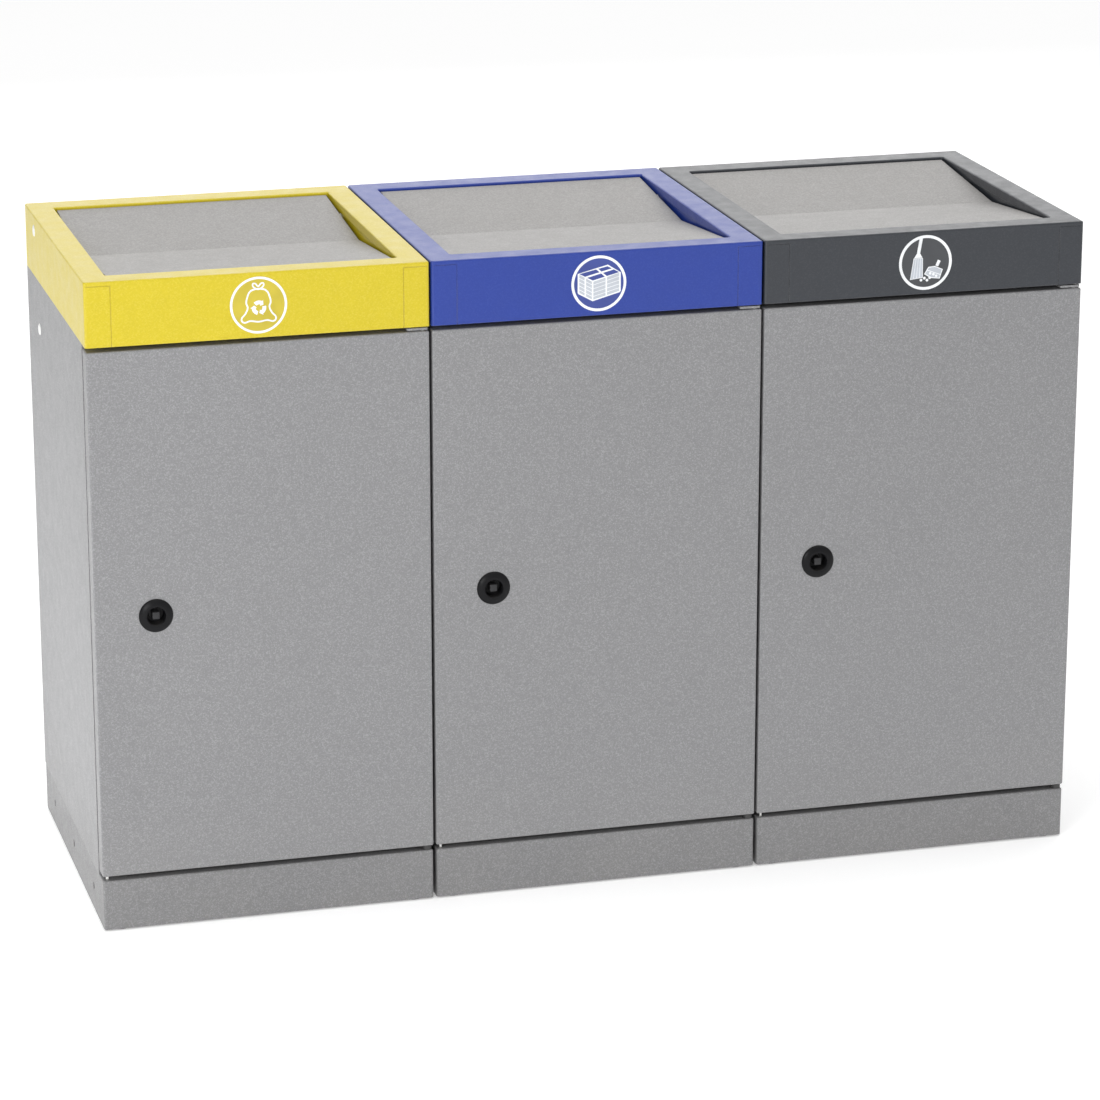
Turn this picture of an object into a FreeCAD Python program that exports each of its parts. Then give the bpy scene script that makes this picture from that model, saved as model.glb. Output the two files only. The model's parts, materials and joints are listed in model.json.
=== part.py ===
import FreeCAD, Part
import math
import os

from FreeCAD import Vector

# A recycling station: three sheet-steel cabinets bolted together in a row. Each has a coloured hood
# with a tipping flap, a door with a key lock, and a loose galvanised bin inside.
#
# Millimetres. X runs along the row, the doors face -Y and +Z is up. The origin is on the floor, under
# the middle of the station. One cabinet is drawn in its own space first: x from 0 to PITCH, y = 0 at
# the face of its door and z = 0 on the floor. It is then copied along the row.

# Overall
STREAMS = ("yellow", "blue", "grey")
PITCH = 370.0
DEPTH = 400.0
HEIGHT = 720.0
HOOD_HEIGHT = 70.0
PLINTH_HEIGHT = 58.0

# Gaps
FLOOR_GAP = 2.0
PANEL_GAP = 5.0
HOOD_GAP = 2.0
DOOR_GAP = 3.0
PLINTH_GAP = 3.5
BEHIND_DOOR = 3.0
RUNNING_FIT = 0.05
LOOSE_FIT = 0.2

# Cutting shapes run this far past what they cut, and places this close together count as one
BEYOND = 1.0
NEAR = 0.01

# Sheet metal
SHEET = 1.5
PLINTH_SHEET = 2.0
CORNER_R = 3.0
FOLD_R = 1.8

# Hood and throat
RIM_SIDE = 28.0
RIM_FRONT = 29.0
RIM_REAR = 32.0
LIP_DEPTH = 10.0
HOOD_FLANGE = 18.0
OPENING_R = 2.5
SEAM_WIDTH = 0.6
SEAM_DEPTH = 0.4
SLIT_DROP = 5.0
THROAT_STEP = 1.0
THROAT_GAP = 0.5
THROAT_FLANGE = 18.0

# Flap
FLAP_SHEET = 1.2
FLAP_SIDE_GAP = 3.0
FLAP_END_GAP = 2.0
FLAP_EDGE_DROP = 2.5
FLAP_CREASE_DROP = 18.0
FLAP_FOLD = 6.0
FLAP_LUG_HALF = 16.0
CREASE_R = 2.0
FLAP_EDGE_R = 0.9 * FLAP_SHEET
AXLE_R = 3.5
AXLE_DROP = 16.5
AXLE_FROM_REAR = 63.0
AXLE_END = 8.0
AXLE_EDGE_R = 0.6
BUSH_WALL = 1.2
BUSH_FLANGE = 1.2
BUSH_FLANGE_R = 5.6
WEIGHT_DEPTH = 24.0
WEIGHT_HEIGHT = 22.0
WEIGHT_BACK = 44.0
WEIGHT_END_GAP = 4.0
WEIGHT_EDGE_R = 1.5
STOP_WIDTH = 24.0
STOP_HEIGHT = 20.0
STOP_INSET = 40.0
STOP_GAP = 0.5

# Door and its pivots
DOOR_DEPTH = 20.0
DOOR_LIP = 12.0
PIVOT_R = 3.0
PIVOT_FROM_EDGE = 6.5
PIVOT_BACK = 6.0
PIVOT_REACH = 15.0
PIVOT_PLATE = 4.0
PIVOT_EDGE_R = 0.8
BRACKET_WIDTH = 23.0
BRACKET_SHEET = 2.5
WASHER_WALL = 2.4
PEG_R = 2.0
PEG_FROM_EDGE = 6.0
PEG_GAP = 0.4
PEG_EDGE_R = 0.8
BUFFER_R = 4.0
BUFFER_END = 56.0
STIFFENER_WIDTH = 40.0
STIFFENER_FOOT = 12.0
STIFFENER_SHEET = 1.2

# Lock
LOCK_FROM_EDGE = 66.0
ESCUTCHEON_R = 18.5
ESCUTCHEON_PROUD = 4.0
ESCUTCHEON_EDGE = 1.0
ESCUTCHEON_BULGE = 1.0
BARREL_R = 12.0
BARREL_DEPTH = 25.5
RECESS_R = 9.8
RECESS_DEPTH = 10.0
RECESS_CHAMFER = 0.8
JOURNAL_R = 6.0
KEY_SQUARE = 8.0
KEY_FRONT = -1.0
KEY_EDGE_R = 0.8
CAM_SQUARE = 7.0
CAM_SHEET = 3.0
CAM_GAP = 1.5
CAM_HUB_R = 11.0
CAM_WIDTH = 16.0
CAM_LENGTH = 56.0
RIVET_R = 6.0
RIVET_HEIGHT = 2.0
LOCK_NUT_FLATS = 30.0
LOCK_NUT_HEIGHT = 5.0

# Carcass, floor tray and front rail
FRONT_FLANGE = 20.0
TOP_FLANGE = 20.0
BOTTOM_FLANGE = 15.0
TRAY_LIP = 8.0
TRAY_GAP = 0.5
RAIL_HEIGHT = 34.0
RAIL_DEPTH = 10.5

# Plinth and feet
PLINTH_FLANGE = 30.0
FOOT_PAD_R = 16.0
FOOT_PAD_HEIGHT = 8.0
FOOT_PAD_EDGE_R = 1.5
FOOT_FROM_WALL = 18.0
FOOT_STEM_R = 4.0
FOOT_NUT_FLATS = 13.0
FOOT_NUT_HEIGHT = 6.5

# Joining bolts, and plugs where no cabinet joins
BOLT_R = 4.0
BOLT_HOLE_R = 4.25
BOLT_HEAD_FLATS = 13.0
BOLT_HEAD_HEIGHT = 5.3
BOLT_NUT_HEIGHT = 6.5
BOLT_TIP = 1.0
SPACER_R = 8.0
PLUG_R = 6.5
PLUG_PROUD = 1.5
PLUG_EDGE_R = 0.8 * PLUG_PROUD
PLUG_DEPTH = 7.0
HOOD_HOLE_FROM_REAR = 66.0
HOOD_HOLE_DROP = 17.0
BODY_HOLE_FROM_REAR = 84.0
BODY_HOLE_DROP = 125.0
PLINTH_HOLE_FROM_ENDS = 66.0
PLINTH_HOLE_Z = 29.0

# Inner bin and its handle
BIN_SHEET = 1.0
BIN_CORNER_R = 15.0
BIN_SIDE_GAP = 25.0
BIN_REAR_GAP = 18.5
BIN_HEM = 5.0
BIN_HEM_HEIGHT = 8.0
BIN_HEM_R = 0.45 * BIN_HEM
BIN_SWING_GAP = 22.0
HANDLE_R = 3.0
HANDLE_BEND_R = 9.0
HANDLE_DROP = 40.0
HANDLE_WIDTH = 92.0
HANDLE_BELOW_RIM = 45.0
HANDLE_CLEARANCE = 3.0
EYE_OFFSET = 6.0
EYE_WIDTH = 12.0
EYE_HALF = 7.0
EYE_GAP = 10.0
EYE_EDGE_R = 0.8 * EYE_OFFSET

# Pictogram film
FILM_R = 30.5
FILM_SHEET = 0.25

# Spans and places that follow from the sizes above
HOOD_X = (HOOD_GAP / 2, PITCH - HOOD_GAP / 2)
DOOR_X = (DOOR_GAP / 2, PITCH - DOOR_GAP / 2)
PLINTH_X = (PLINTH_GAP / 2, PITCH - PLINTH_GAP / 2)
FULL_Y = (0.0, DEPTH)
CARCASS_Y = (DOOR_DEPTH + BEHIND_DOOR, DEPTH)
HOOD_BOTTOM = HEIGHT - HOOD_HEIGHT
DOOR_Z = (PLINTH_HEIGHT + PANEL_GAP, HOOD_BOTTOM - PANEL_GAP)
BRACKET_Z = (HOOD_BOTTOM - SHEET - BRACKET_SHEET, HOOD_BOTTOM - SHEET)
OPENING_X = (HOOD_X[0] + RIM_SIDE, HOOD_X[1] - RIM_SIDE)
OPENING_Y = (RIM_FRONT, DEPTH - RIM_REAR)
THROAT_Z = (HOOD_BOTTOM + SHEET, HEIGHT - LIP_DEPTH - THROAT_GAP)
FLAP_X = (OPENING_X[0] + FLAP_SIDE_GAP, OPENING_X[1] - FLAP_SIDE_GAP)
FLAP_Y = (OPENING_Y[0] + FLAP_END_GAP, OPENING_Y[1] - FLAP_END_GAP)
FLAP_EDGE_Z = HEIGHT - FLAP_EDGE_DROP
FLAP_CREASE_Z = HEIGHT - FLAP_CREASE_DROP
AXLE_Y = OPENING_Y[1] - AXLE_FROM_REAR
AXLE_Z = HEIGHT - AXLE_DROP
PIVOT = Vector(DOOR_X[1] - PIVOT_FROM_EDGE, PIVOT_BACK, 0)
LOCK = Vector(DOOR_X[0] + LOCK_FROM_EDGE, 0, (DOOR_Z[0] + DOOR_Z[1]) / 2)
RAIL_Z = (BRACKET_Z[0] - RAIL_HEIGHT, BRACKET_Z[0])
TRAY_Z = PLINTH_HEIGHT + SHEET
HOOD_HOLE = Vector(0, DEPTH - HOOD_HOLE_FROM_REAR, HEIGHT - HOOD_HOLE_DROP)
BODY_HOLE = Vector(0, DEPTH - BODY_HOLE_FROM_REAR, HEIGHT - BODY_HOLE_DROP)
PLINTH_HOLES = [
    Vector(0, y, PLINTH_HOLE_Z)
    for y in (PLINTH_HOLE_FROM_ENDS, DEPTH / 2, DEPTH - PLINTH_HOLE_FROM_ENDS)
]
BIN_X = (HOOD_X[0] + SHEET + BIN_SIDE_GAP, HOOD_X[1] - SHEET - BIN_SIDE_GAP)
BIN_Y = (
    DOOR_DEPTH + HANDLE_CLEARANCE + HANDLE_R + HANDLE_DROP + EYE_OFFSET,
    DEPTH - SHEET - BIN_REAR_GAP,
)
FLAP_REACH = math.hypot(AXLE_Y - FLAP_Y[0], FLAP_EDGE_Z - AXLE_Z)
BIN_TOP = (
    AXLE_Z
    - math.sqrt(FLAP_REACH**2 - (AXLE_Y - BIN_Y[0] + BIN_HEM) ** 2)
    - BIN_SWING_GAP
)
BIN_Z = (TRAY_Z + SHEET, BIN_TOP)
HANDLE_Y = BIN_Y[0] - EYE_OFFSET
HANDLE_Z = BIN_TOP - HANDLE_BELOW_RIM
STATION_CENTRE = Vector(PITCH * len(STREAMS) / 2, (DEPTH - ESCUTCHEON_PROUD) / 2, 0)


# --- Shapes used by many pieces ---


def inset(span, amount):
    """A span with the same amount taken off both ends."""
    return (span[0] + amount, span[1] - amount)


def block(x, y, z):
    """A box between the two ends of each span."""
    return Part.makeBox(x[1] - x[0], y[1] - y[0], z[1] - z[0], Vector(x[0], y[0], z[0]))


def rounded(shape, radius, keep):
    """A shape with a rounding on each edge whose bounding box passes the test."""
    edges = [edge for edge in shape.Edges if keep(edge.BoundBox)]
    return shape.makeFillet(radius, edges)


def upright(box):
    """True for the box round a vertical edge."""
    return box.XLength < NEAR and box.YLength < NEAR


def post(x, y, z, radius):
    """A block with its vertical edges rounded."""
    return rounded(block(x, y, z), radius, upright)


def walls(x, y, z, sheet, radius):
    """Four upright walls, open at the top and the bottom."""
    hollow = post(inset(x, sheet), inset(y, sheet), inset(z, -BEYOND), radius - sheet)
    return post(x, y, z, radius).cut(hollow)


def frame(x, y, z, width, radius, corner=OPENING_R):
    """A flat plate with a rectangular hole that leaves a border of one width."""
    hole = post(inset(x, width), inset(y, width), inset(z, -BEYOND), corner)
    return post(x, y, z, radius).cut(hole)


def rod(radius, start, end):
    """A round bar from one point to another."""
    return Part.makeCylinder(radius, start.distanceToPoint(end), start, end - start)


def ring(outer, inner, start, end):
    """A tube from one point to another."""
    return rod(outer, start, end).cut(rod(inner, start, end))


def hexagon(flats, start, end):
    """A hexagonal bar along X, Y or Z, from one point to another."""
    along = (end - start).normalize()
    side = Vector(along.z, along.x, along.y)
    other = along.cross(side)
    reach = flats / math.sqrt(3)
    corners = 6
    points = []
    for step in range(corners + 1):
        angle = 2 * math.pi * step / corners
        points.append(start + side * (reach * math.cos(angle)) + other * (reach * math.sin(angle)))
    return Part.Face(Part.makePolygon(points)).extrude(end - start)


def plate(outline, x):
    """A piece with one outline in Y and Z, from one x to another."""
    points = [Vector(x[0], y, z) for y, z in outline]
    face = Part.Face(Part.makePolygon(points + points[:1]))
    return face.extrude(Vector(x[1] - x[0], 0, 0))


def joined(*shapes):
    """Touching shapes made into one solid, with no seams left between flat faces."""
    return shapes[0].fuse(list(shapes[1:])).removeSplitter()


def drilled(shape, radius, places, x):
    """A shape with holes along X at the given places."""
    for place in places:
        start = Vector(x[0], place.y, place.z)
        end = Vector(x[1], place.y, place.z)
        shape = shape.cut(rod(radius, start, end))
    return shape


# --- Cabinet ---


def plinth():
    ring_z = (FLOOR_GAP, PLINTH_HEIGHT)
    top_z = (PLINTH_HEIGHT - PLINTH_SHEET, PLINTH_HEIGHT)
    sides = walls(PLINTH_X, FULL_Y, ring_z, PLINTH_SHEET, CORNER_R)
    top = frame(PLINTH_X, FULL_Y, top_z, PLINTH_FLANGE, CORNER_R)
    shape = joined(sides, top)
    shape = rounded(
        shape, FOLD_R, lambda box: box.ZMin > PLINTH_HEIGHT - NEAR and on_outline(box, PLINTH_X)
    )
    return drilled(shape, BOLT_HOLE_R, PLINTH_HOLES, inset(PLINTH_X, -BEYOND))


def on_outline(box, x):
    """True for an edge on the outer outline of a cabinet piece that is as deep as the cabinet."""
    reach = CORNER_R + FOLD_R
    near_x = box.XMax < x[0] + reach or box.XMin > x[1] - reach
    near_y = box.YMax < reach or box.YMin > DEPTH - reach
    return near_x or near_y


def carcass():
    """Sides and back folded from one sheet, with flanges at the front, top and bottom."""
    z = (PLINTH_HEIGHT, HOOD_BOTTOM)
    all_z = inset(z, -BEYOND)
    flange_y = (CARCASS_Y[0] - BEYOND, CARCASS_Y[0] + SHEET)
    shape = rounded(
        block(HOOD_X, CARCASS_Y, z), CORNER_R, lambda box: upright(box) and box.YMin > DEPTH / 2
    )
    hollow_y = (CARCASS_Y[0] + SHEET, DEPTH - SHEET)
    shape = shape.cut(block(inset(HOOD_X, SHEET), hollow_y, inset(z, SHEET)))
    open_top_y = (flange_y[0], DEPTH - TOP_FLANGE)
    top_z = (z[1] - SHEET - BEYOND, all_z[1])
    shape = shape.cut(block(inset(HOOD_X, TOP_FLANGE), open_top_y, top_z))
    open_bottom_y = (flange_y[0], DEPTH - BOTTOM_FLANGE)
    bottom_z = (all_z[0], z[0] + SHEET + BEYOND)
    shape = shape.cut(block(inset(HOOD_X, BOTTOM_FLANGE), open_bottom_y, bottom_z))
    shape = shape.cut(block(inset(HOOD_X, FRONT_FLANGE), flange_y, all_z))
    slot_x = (PITCH / 2, HOOD_X[1] - SHEET)
    shape = shape.cut(block(slot_x, flange_y, (BRACKET_Z[0], z[1] - SHEET)))
    return drilled(shape, BOLT_HOLE_R, [BODY_HOLE], inset(HOOD_X, -BEYOND))


def floor_tray():
    x = inset(HOOD_X, SHEET + TRAY_GAP)
    y = (CARCASS_Y[0] + SHEET + TRAY_GAP, DEPTH - SHEET - TRAY_GAP)
    z = (TRAY_Z, TRAY_Z + TRAY_LIP)
    hollow = block(inset(x, SHEET), inset(y, SHEET), (TRAY_Z + SHEET, z[1] + BEYOND))
    return block(x, y, z).cut(hollow)


def front_rail():
    """A channel across the cabinet, behind its front flanges, that the hinge bracket sits on."""
    x = inset(HOOD_X, SHEET + LOOSE_FIT)
    y = (CARCASS_Y[0] + SHEET, CARCASS_Y[0] + SHEET + RAIL_DEPTH)
    hollow = block(inset(x, -BEYOND), (y[0] + SHEET, y[1] + BEYOND), inset(RAIL_Z, SHEET))
    return block(x, y, RAIL_Z).cut(hollow)


def levelling_feet():
    """Four feet with a stem each, and a nut under the plinth's top flange for each."""
    pieces = []
    wall = PLINTH_SHEET + FOOT_FROM_WALL
    nut_top = PLINTH_HEIGHT - PLINTH_SHEET
    for x in inset(PLINTH_X, wall):
        for y in inset(FULL_Y, wall):
            pad_top = Vector(x, y, FOOT_PAD_HEIGHT)
            pad = rod(FOOT_PAD_R, Vector(x, y, 0), pad_top)
            pad = rounded(pad, FOOT_PAD_EDGE_R, lambda box: box.ZMin > FOOT_PAD_HEIGHT - NEAR)
            nut_start = Vector(x, y, nut_top - FOOT_NUT_HEIGHT)
            nut_end = Vector(x, y, nut_top)
            nut = hexagon(FOOT_NUT_FLATS, nut_start, nut_end)
            pieces.append(joined(pad, rod(FOOT_STEM_R, pad_top, nut_end)))
            pieces.append(nut.cut(rod(FOOT_STEM_R + RUNNING_FIT, nut_start, nut_end)))
    return pieces


# --- Hood and throat ---


def hood():
    z = (HOOD_BOTTOM, HEIGHT)
    shape = post(HOOD_X, FULL_Y, z, CORNER_R)
    shape = rounded(shape, FOLD_R, lambda box: box.ZMin > HEIGHT - NEAR)
    hollow_z = (z[0] - BEYOND, z[1] - SHEET)
    hollow = post(inset(HOOD_X, SHEET), inset(FULL_Y, SHEET), hollow_z, CORNER_R - SHEET)
    lip_z = (HEIGHT - LIP_DEPTH, HEIGHT - SHEET / 2)
    lip = post(inset(OPENING_X, -SHEET), inset(OPENING_Y, -SHEET), lip_z, OPENING_R + SHEET)
    bottom_z = (HOOD_BOTTOM, HOOD_BOTTOM + SHEET)
    inner_x = inset(HOOD_X, SHEET / 2)
    inner_y = inset(FULL_Y, SHEET / 2)
    bottom = frame(inner_x, inner_y, bottom_z, HOOD_FLANGE, CORNER_R - SHEET / 2)
    shape = joined(shape.cut(hollow), lip, bottom)
    opening_z = (HEIGHT - LIP_DEPTH - BEYOND, HEIGHT + BEYOND)
    shape = shape.cut(post(OPENING_X, OPENING_Y, opening_z, OPENING_R))
    shape = rounded(
        shape, FOLD_R, lambda box: box.ZMin > HEIGHT - NEAR and not on_outline(box, HOOD_X)
    )
    shape = drilled(shape, BOLT_HOLE_R, [HOOD_HOLE], inset(HOOD_X, -BEYOND))
    return seamed(shape)


def seamed(shape):
    """Closed corner tabs on the front of a hood: an upright seam and a short slit at each end."""
    seam_y = (-BEYOND, SEAM_DEPTH)
    slit_z = (HEIGHT - SLIT_DROP, HEIGHT - SLIT_DROP + SEAM_WIDTH)
    for end, inward in ((HOOD_X[0], 1), (HOOD_X[1], -1)):
        tab = end + inward * RIM_SIDE
        seam_x = (tab - SEAM_WIDTH / 2, tab + SEAM_WIDTH / 2)
        slit_x = tuple(sorted((end + inward * CORNER_R, tab)))
        shape = shape.cut(block(seam_x, seam_y, (HOOD_BOTTOM - BEYOND, HEIGHT - SLIT_DROP)))
        shape = shape.cut(block(slit_x, seam_y, slit_z))
    return shape


def throat():
    """The upright inner frame of the opening, with a flange that rests on the hood's bottom flange."""
    x = inset(OPENING_X, -THROAT_STEP - SHEET)
    y = inset(OPENING_Y, -THROAT_STEP - SHEET)
    flange_x = inset(x, -THROAT_FLANGE)
    flange_y = inset(y, -THROAT_FLANGE)
    flange_z = (THROAT_Z[0], THROAT_Z[0] + SHEET)
    width = THROAT_FLANGE + SHEET
    sides = walls(x, y, THROAT_Z, SHEET, OPENING_R + SHEET)
    flange = frame(flange_x, flange_y, flange_z, width, CORNER_R)
    axle = Vector(0, AXLE_Y, AXLE_Z)
    return drilled(joined(sides, flange), AXLE_R + BUSH_WALL, [axle], inset(x, -BEYOND))


def flap_bushes():
    """A flanged bush in each side wall of the throat."""
    pieces = []
    walls_x = inset(OPENING_X, -THROAT_STEP)
    for wall, inward in ((walls_x[0], 1), (walls_x[1], -1)):
        outside = Vector(wall - inward * (SHEET + BUSH_FLANGE), AXLE_Y, AXLE_Z)
        face = Vector(wall, AXLE_Y, AXLE_Z)
        inside = Vector(wall + inward * BUSH_FLANGE, AXLE_Y, AXLE_Z)
        bush = joined(
            rod(AXLE_R + BUSH_WALL, outside, face),
            rod(BUSH_FLANGE_R, face, inside),
        )
        pieces.append(bush.cut(rod(AXLE_R + RUNNING_FIT, outside, inside)))
    return pieces


def flap_stops():
    """Rubber blocks on the throat's rear wall that hold the counterweight up when the flap is shut."""
    top = weight_z()[0] - STOP_GAP
    z = (top - STOP_HEIGHT, top)
    rear = OPENING_Y[1] + THROAT_STEP
    y = (AXLE_Y + WEIGHT_BACK - WEIGHT_DEPTH / 4, rear)
    pieces = []
    for start in (FLAP_X[0] + STOP_INSET, FLAP_X[1] - STOP_INSET - STOP_WIDTH):
        pieces.append(block((start, start + STOP_WIDTH), y, z))
    return pieces


# --- Flap ---


def flap_top(y):
    """Height of the flap's upper face at one y."""
    half = (FLAP_Y[1] - FLAP_Y[0]) / 2
    away = abs(y - (FLAP_Y[0] + FLAP_Y[1]) / 2) / half
    return FLAP_CREASE_Z + (FLAP_EDGE_Z - FLAP_CREASE_Z) * away


def flap():
    """A sheet folded to a shallow V, with its ends turned down and a cheek along each side."""
    front, rear = FLAP_Y
    middle = (front + rear) / 2
    under = -FLAP_SHEET
    end_z = FLAP_EDGE_Z - FLAP_FOLD
    outline = [
        (front, end_z),
        (front, FLAP_EDGE_Z),
        (middle, FLAP_CREASE_Z),
        (rear, FLAP_EDGE_Z),
        (rear, end_z),
        (rear + under, end_z),
        (rear + under, flap_top(rear + under) + under),
        (middle, FLAP_CREASE_Z + under),
        (front - under, flap_top(front - under) + under),
        (front - under, end_z),
    ]
    sheet = plate(outline, FLAP_X)
    sheet = rounded(sheet, CREASE_R, lambda box: crosswise(box) and abs(box.YMin - middle) < NEAR)
    sheet = rounded(
        sheet, FLAP_EDGE_R, lambda box: crosswise(box) and box.ZMin > FLAP_EDGE_Z - NEAR
    )
    shape = joined(sheet, *flap_cheeks())
    axle = Vector(0, AXLE_Y, AXLE_Z)
    return drilled(shape, AXLE_R + RUNNING_FIT, [axle], inset(FLAP_X, -BEYOND))


def crosswise(box):
    """True for the box round an edge along X."""
    return box.YLength < NEAR and box.ZLength < NEAR


def flap_cheeks():
    """The turned-down sides of the flap, deepest round the axle."""
    front, rear = inset(FLAP_Y, FLAP_SHEET / 2)
    middle = (front + rear) / 2
    under = FLAP_SHEET / 2
    end_z = FLAP_EDGE_Z - FLAP_FOLD
    crease_z = FLAP_CREASE_Z - FLAP_FOLD
    lug_z = AXLE_Z - AXLE_R - FLAP_FOLD / 2
    outline = [
        (front, end_z),
        (front, flap_top(front) - under),
        (middle, FLAP_CREASE_Z - under),
        (rear, flap_top(rear) - under),
        (rear, end_z),
        (AXLE_Y + FLAP_LUG_HALF, lug_z),
        (AXLE_Y - FLAP_LUG_HALF, lug_z),
        (middle, crease_z),
    ]
    left = (FLAP_X[0], FLAP_X[0] + FLAP_SHEET)
    right = (FLAP_X[1] - FLAP_SHEET, FLAP_X[1])
    return [plate(outline, left), plate(outline, right)]


def flap_axle():
    start = Vector(HOOD_X[0] + SHEET + AXLE_END, AXLE_Y, AXLE_Z)
    end = Vector(HOOD_X[1] - SHEET - AXLE_END, AXLE_Y, AXLE_Z)
    return rounded(rod(AXLE_R, start, end), AXLE_EDGE_R, lambda box: box.XLength < NEAR)


def weight_z():
    """Bottom and top of the counterweight, which hangs against the underside of the flap."""
    front = AXLE_Y + WEIGHT_BACK - WEIGHT_DEPTH / 2
    top = flap_top(front) - FLAP_SHEET
    return (top - WEIGHT_HEIGHT, top)


def flap_counterweight():
    x = inset(FLAP_X, FLAP_SHEET + WEIGHT_END_GAP)
    centre = AXLE_Y + WEIGHT_BACK
    y = (centre - WEIGHT_DEPTH / 2, centre + WEIGHT_DEPTH / 2)
    bar = block(x, y, weight_z())
    return rounded(bar, WEIGHT_EDGE_R, lambda box: crosswise(box) and box.ZMin < weight_z()[0] + NEAR)


# --- Door ---


def door():
    """A pan folded from one sheet, with an inward lip round its back."""
    y = (0.0, DOOR_DEPTH)
    shape = block(DOOR_X, y, DOOR_Z)
    shape = rounded(shape, FOLD_R, lambda box: box.YMax < NEAR or box.YLength > DOOR_DEPTH - NEAR)
    shape = shape.cut(block(inset(DOOR_X, SHEET), inset(y, SHEET), inset(DOOR_Z, SHEET)))
    back_y = (DOOR_DEPTH - SHEET - BEYOND, DOOR_DEPTH + BEYOND)
    shape = shape.cut(block(inset(DOOR_X, DOOR_LIP), back_y, inset(DOOR_Z, DOOR_LIP)))
    shape = shape.cut(rod(PIVOT_R + LOOSE_FIT, at_height(PIVOT, 0), at_height(PIVOT, HEIGHT)))
    in_front = LOCK - Vector(0, BEYOND, 0)
    behind = LOCK + Vector(0, SHEET + BEYOND, 0)
    return shape.cut(rod(BARREL_R + LOOSE_FIT, in_front, behind))


def at_height(place, z):
    """A place on a vertical axis, at one height."""
    return Vector(place.x, place.y, z)


def door_stiffener():
    """A hat section inside the door, with its feet against the door's face."""
    z = inset(DOOR_Z, SHEET + LOOSE_FIT)
    middle = (DOOR_X[0] + DOOR_X[1]) / 2
    web_x = (middle - STIFFENER_WIDTH / 2, middle + STIFFENER_WIDTH / 2)
    y = (SHEET, DOOR_DEPTH - SHEET - LOOSE_FIT)
    hat = block(web_x, y, z)
    feet = block(inset(web_x, -STIFFENER_FOOT), (SHEET, SHEET + STIFFENER_SHEET), z)
    hollow = block(inset(web_x, STIFFENER_SHEET), (0, y[1] - STIFFENER_SHEET), inset(z, -BEYOND))
    return joined(hat, feet).cut(hollow)


def pivot_plates():
    """Plates inside the door's top and bottom that the hinge pins turn in."""
    x = (DOOR_X[1] - SHEET - BRACKET_WIDTH, DOOR_X[1] - SHEET)
    y = (SHEET, DOOR_DEPTH - SHEET)
    inside = inset(DOOR_Z, SHEET)
    pieces = []
    for z in ((inside[0], inside[0] + PIVOT_PLATE), (inside[1] - PIVOT_PLATE, inside[1])):
        low, high = inset(z, -BEYOND)
        hole = rod(PIVOT_R + RUNNING_FIT, at_height(PIVOT, low), at_height(PIVOT, high))
        pieces.append(block(x, y, z).cut(hole))
    return pieces


def hinge_bracket():
    """A plate on the front rail that reaches over the door and holds the upper pin."""
    right = HOOD_X[1] - SHEET - LOOSE_FIT
    x = (right - BRACKET_WIDTH, right)
    y = (SHEET, CARCASS_Y[0] + SHEET + RAIL_DEPTH)
    shape = rounded(block(x, y, BRACKET_Z), FOLD_R, lambda box: upright(box) and box.YMax < PIVOT_BACK)
    return shape.cut(rod(PIVOT_R, at_height(PIVOT, 0), at_height(PIVOT, HEIGHT)))


def hinge_pins():
    """The upper pin hangs from the bracket. The lower one stands on the plinth."""
    upper = rod(PIVOT_R, at_height(PIVOT, DOOR_Z[1] - PIVOT_REACH), at_height(PIVOT, BRACKET_Z[1]))
    lower = rod(PIVOT_R, at_height(PIVOT, PLINTH_HEIGHT), at_height(PIVOT, DOOR_Z[0] + PIVOT_REACH))
    return [
        rounded(upper, PIVOT_EDGE_R, lambda box: box.ZMax < DOOR_Z[1]),
        rounded(lower, PIVOT_EDGE_R, lambda box: box.ZMin > DOOR_Z[0]),
    ]


def hinge_washer():
    """The thick washer on the lower pin that carries the door."""
    outer = PIVOT_R + WASHER_WALL
    start = at_height(PIVOT, PLINTH_HEIGHT)
    end = at_height(PIVOT, DOOR_Z[0] - RUNNING_FIT)
    return ring(outer, PIVOT_R + RUNNING_FIT, start, end)


def rest_peg():
    """A peg on the plinth that the free end of the door rides over as it shuts."""
    foot = Vector(DOOR_X[0] + PEG_FROM_EDGE, PIVOT_BACK, PLINTH_HEIGHT)
    top = at_height(foot, DOOR_Z[0] - PEG_GAP)
    return rounded(rod(PEG_R, foot, top), PEG_EDGE_R, lambda box: box.ZMin > PLINTH_HEIGHT + NEAR)


def door_buffers():
    """Rubber buffers on the left front flange that the shut door rests against."""
    x = HOOD_X[0] + FRONT_FLANGE / 2
    pieces = []
    for z in inset(DOOR_Z, BUFFER_END):
        start = Vector(x, DOOR_DEPTH + LOOSE_FIT, z)
        pieces.append(rod(BUFFER_R, start, Vector(x, CARCASS_Y[0], z)))
    return pieces


# --- Lock ---


def turned(profile, top=None):
    """A turned piece on the lock's axis, from points of radius and y. Two points may be an arc."""
    points = [Vector(radius, y, 0) for radius, y in profile]
    edges = [Part.makeLine(a, b) for a, b in zip(points, points[1:])]
    if top:
        edges.append(Part.Arc(points[-1], Vector(top[0], top[1], 0), points[0]).toShape())
    else:
        edges.append(Part.makeLine(points[-1], points[0]))
    face = Part.Face(Part.Wire(edges))
    shape = face.revolve(Vector(0, 0, 0), Vector(0, 1, 0), 360)
    shape.translate(LOCK)
    return shape


def square_bar(size, y):
    """A square bar on the lock's axis."""
    half = size / 2
    return block((LOCK.x - half, LOCK.x + half), y, (LOCK.z - half, LOCK.z + half))


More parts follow.
